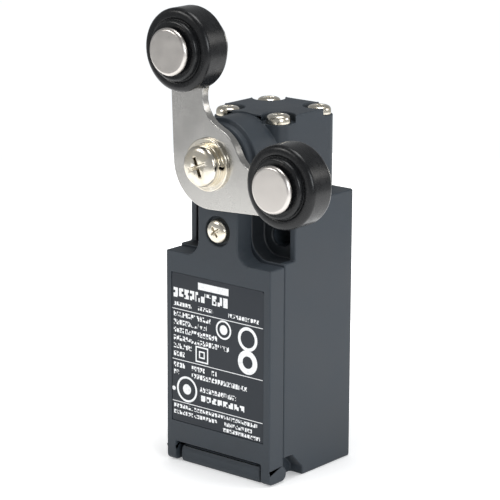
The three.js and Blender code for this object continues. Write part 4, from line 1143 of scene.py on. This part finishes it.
def make_lights():
    for name, place, target, size, power, colour in LIGHTS:
        clear_selection()
        bpy.ops.object.light_add(type="AREA", location=scaled(place))
        lamp = bpy.context.object
        lamp.name = f"light_{name}"
        lamp.data.shape = "SQUARE"
        lamp.data.size = size * MM
        lamp.data.energy = power
        lamp.data.color = colour
        aim(lamp, target)
    world = bpy.data.worlds.new("studio")
    world.use_nodes = True
    tree = world.node_tree
    background = tree.nodes["Background"]
    background.inputs["Color"].default_value = (0.96, 0.98, 1.0, 1.0)
    path = tree.nodes.new("ShaderNodeLightPath")
    direction = tree.nodes.new("ShaderNodeTexCoord")
    height = tree.nodes.new("ShaderNodeSeparateXYZ")
    tree.links.new(direction.outputs["Generated"], height.inputs["Vector"])
    sky = tree.nodes.new("ShaderNodeMapRange")
    tree.links.new(height.outputs["Z"], sky.inputs["Value"])
    sky.inputs["From Min"].default_value = 0.0
    sky.inputs["From Max"].default_value = 0.6
    sky.inputs["To Min"].default_value = WORLD_LOW
    sky.inputs["To Max"].default_value = WORLD_HIGH
    seen = tree.nodes.new("ShaderNodeMapRange")
    tree.links.new(path.outputs["Is Camera Ray"], seen.inputs["Value"])
    tree.links.new(sky.outputs["Result"], seen.inputs["To Min"])
    seen.inputs["To Max"].default_value = 1.05
    tree.links.new(seen.outputs["Result"], background.inputs["Strength"])
    bpy.context.scene.world = world
    bpy.context.scene.view_settings.view_transform = "Standard"


def make_camera():
    azimuth, elevation = (math.radians(a) for a in (CAMERA_AZIMUTH, CAMERA_ELEVATION))
    back = Vector(
        (
            math.sin(azimuth) * math.cos(elevation),
            -math.cos(azimuth) * math.cos(elevation),
            math.sin(elevation),
        )
    )
    clear_selection()
    place = scaled(CAMERA_TARGET) + back * CAMERA_DISTANCE * MM
    bpy.ops.object.camera_add(location=place)
    camera = bpy.context.object
    camera.name = "camera"
    camera.data.lens = CAMERA_LENS
    camera.data.sensor_width = 36.0
    camera.data.clip_start = 0.01
    aim(camera, CAMERA_TARGET, CAMERA_ROLL)
    bpy.context.scene.camera = camera


# ---------------------------------------------------------------- operators and panel


class SWITCH_OT_case(bpy.types.Operator):
    """Build the case"""

    bl_idname = "limit_switch.case"
    bl_label = "Case"

    def execute(self, context):
        make_case()
        return {"FINISHED"}


class SWITCH_OT_cover(bpy.types.Operator):
    """Build the hinged cover"""

    bl_idname = "limit_switch.cover"
    bl_label = "Cover"

    def execute(self, context):
        make_cover()
        return {"FINISHED"}


class SWITCH_OT_label(bpy.types.Operator):
    """Build the printed label"""

    bl_idname = "limit_switch.label"
    bl_label = "Label"

    def execute(self, context):
        make_label()
        return {"FINISHED"}


class SWITCH_OT_head(bpy.types.Operator):
    """Build the head"""

    bl_idname = "limit_switch.head"
    bl_label = "Head"

    def execute(self, context):
        make_head()
        return {"FINISHED"}


class SWITCH_OT_screws(bpy.types.Operator):
    """Build the cross-recessed screws of the head, cover, block and terminals"""

    bl_idname = "limit_switch.screws"
    bl_label = "Screws"

    def execute(self, context):
        make_screws()
        return {"FINISHED"}


class SWITCH_OT_lever(bpy.types.Operator):
    """Build the pressed fork lever"""

    bl_idname = "limit_switch.lever"
    bl_label = "Fork lever"

    def execute(self, context):
        make_lever()
        return {"FINISHED"}


class SWITCH_OT_rollers(bpy.types.Operator):
    """Build both rollers"""

    bl_idname = "limit_switch.rollers"
    bl_label = "Rollers"

    def execute(self, context):
        for which in ("upper", "side"):
            make_roller(which)
        return {"FINISHED"}


class SWITCH_OT_pins(bpy.types.Operator):
    """Build the headed pins that the rollers turn on"""

    bl_idname = "limit_switch.pins"
    bl_label = "Roller pins"

    def execute(self, context):
        for which in ("upper", "side"):
            make_pin(which)
        return {"FINISHED"}


class SWITCH_OT_lever_fixing(bpy.types.Operator):
    """Build the screw and washers that hold the lever on its shaft"""

    bl_idname = "limit_switch.lever_fixing"
    bl_label = "Lever fixing"

    def execute(self, context):
        make_lever_fixing()
        return {"FINISHED"}


class SWITCH_OT_working_parts(bpy.types.Operator):
    """Finish the shaft, cam, plungers, springs and switch block inside"""

    bl_idname = "limit_switch.working_parts"
    bl_label = "Working parts"

    def execute(self, context):
        dress_working_parts()
        return {"FINISHED"}


class SWITCH_OT_stage(bpy.types.Operator):
    """Set up the floor, the lights and the camera"""

    bl_idname = "limit_switch.stage"
    bl_label = "Stage"

    def execute(self, context):
        make_floor()
        make_lights()
        make_camera()
        return {"FINISHED"}


BUILDERS = (
    SWITCH_OT_case,
    SWITCH_OT_cover,
    SWITCH_OT_label,
    SWITCH_OT_head,
    SWITCH_OT_screws,
    SWITCH_OT_lever,
    SWITCH_OT_rollers,
    SWITCH_OT_pins,
    SWITCH_OT_lever_fixing,
    SWITCH_OT_working_parts,
    SWITCH_OT_stage,
)


class SWITCH_PT_panel(bpy.types.Panel):
    """Lists the pieces of the limit switch and their sizes and colours."""

    bl_idname = "SWITCH_PT_panel"
    bl_label = "Limit Switch"
    bl_space_type = "VIEW_3D"
    bl_region_type = "UI"
    bl_category = "Limit Switch"

    def draw(self, context):
        for group in (context.scene.switch_sizes, context.scene.switch_colours):
            box = self.layout.box()
            for name in group.__annotations__:
                box.prop(group, name)
        for builder in BUILDERS:
            self.layout.operator(builder.bl_idname)


CLASSES = (SwitchSizes, SwitchColours, *BUILDERS, SWITCH_PT_panel)


def register():
    for item in CLASSES:
        bpy.utils.register_class(item)
    bpy.types.Scene.switch_sizes = bpy.props.PointerProperty(type=SwitchSizes)
    bpy.types.Scene.switch_colours = bpy.props.PointerProperty(type=SwitchColours)


def unregister():
    del bpy.types.Scene.switch_sizes
    del bpy.types.Scene.switch_colours
    for item in reversed(CLASSES):
        bpy.utils.unregister_class(item)


def main():
    register()
    for builder in BUILDERS:
        operator = builder.bl_idname.split(".")[1]
        if getattr(bpy.ops.limit_switch, operator)() != {"FINISHED"}:
            raise RuntimeError(f"{builder.bl_label} was not built")


if __name__ == "__main__":
    main()
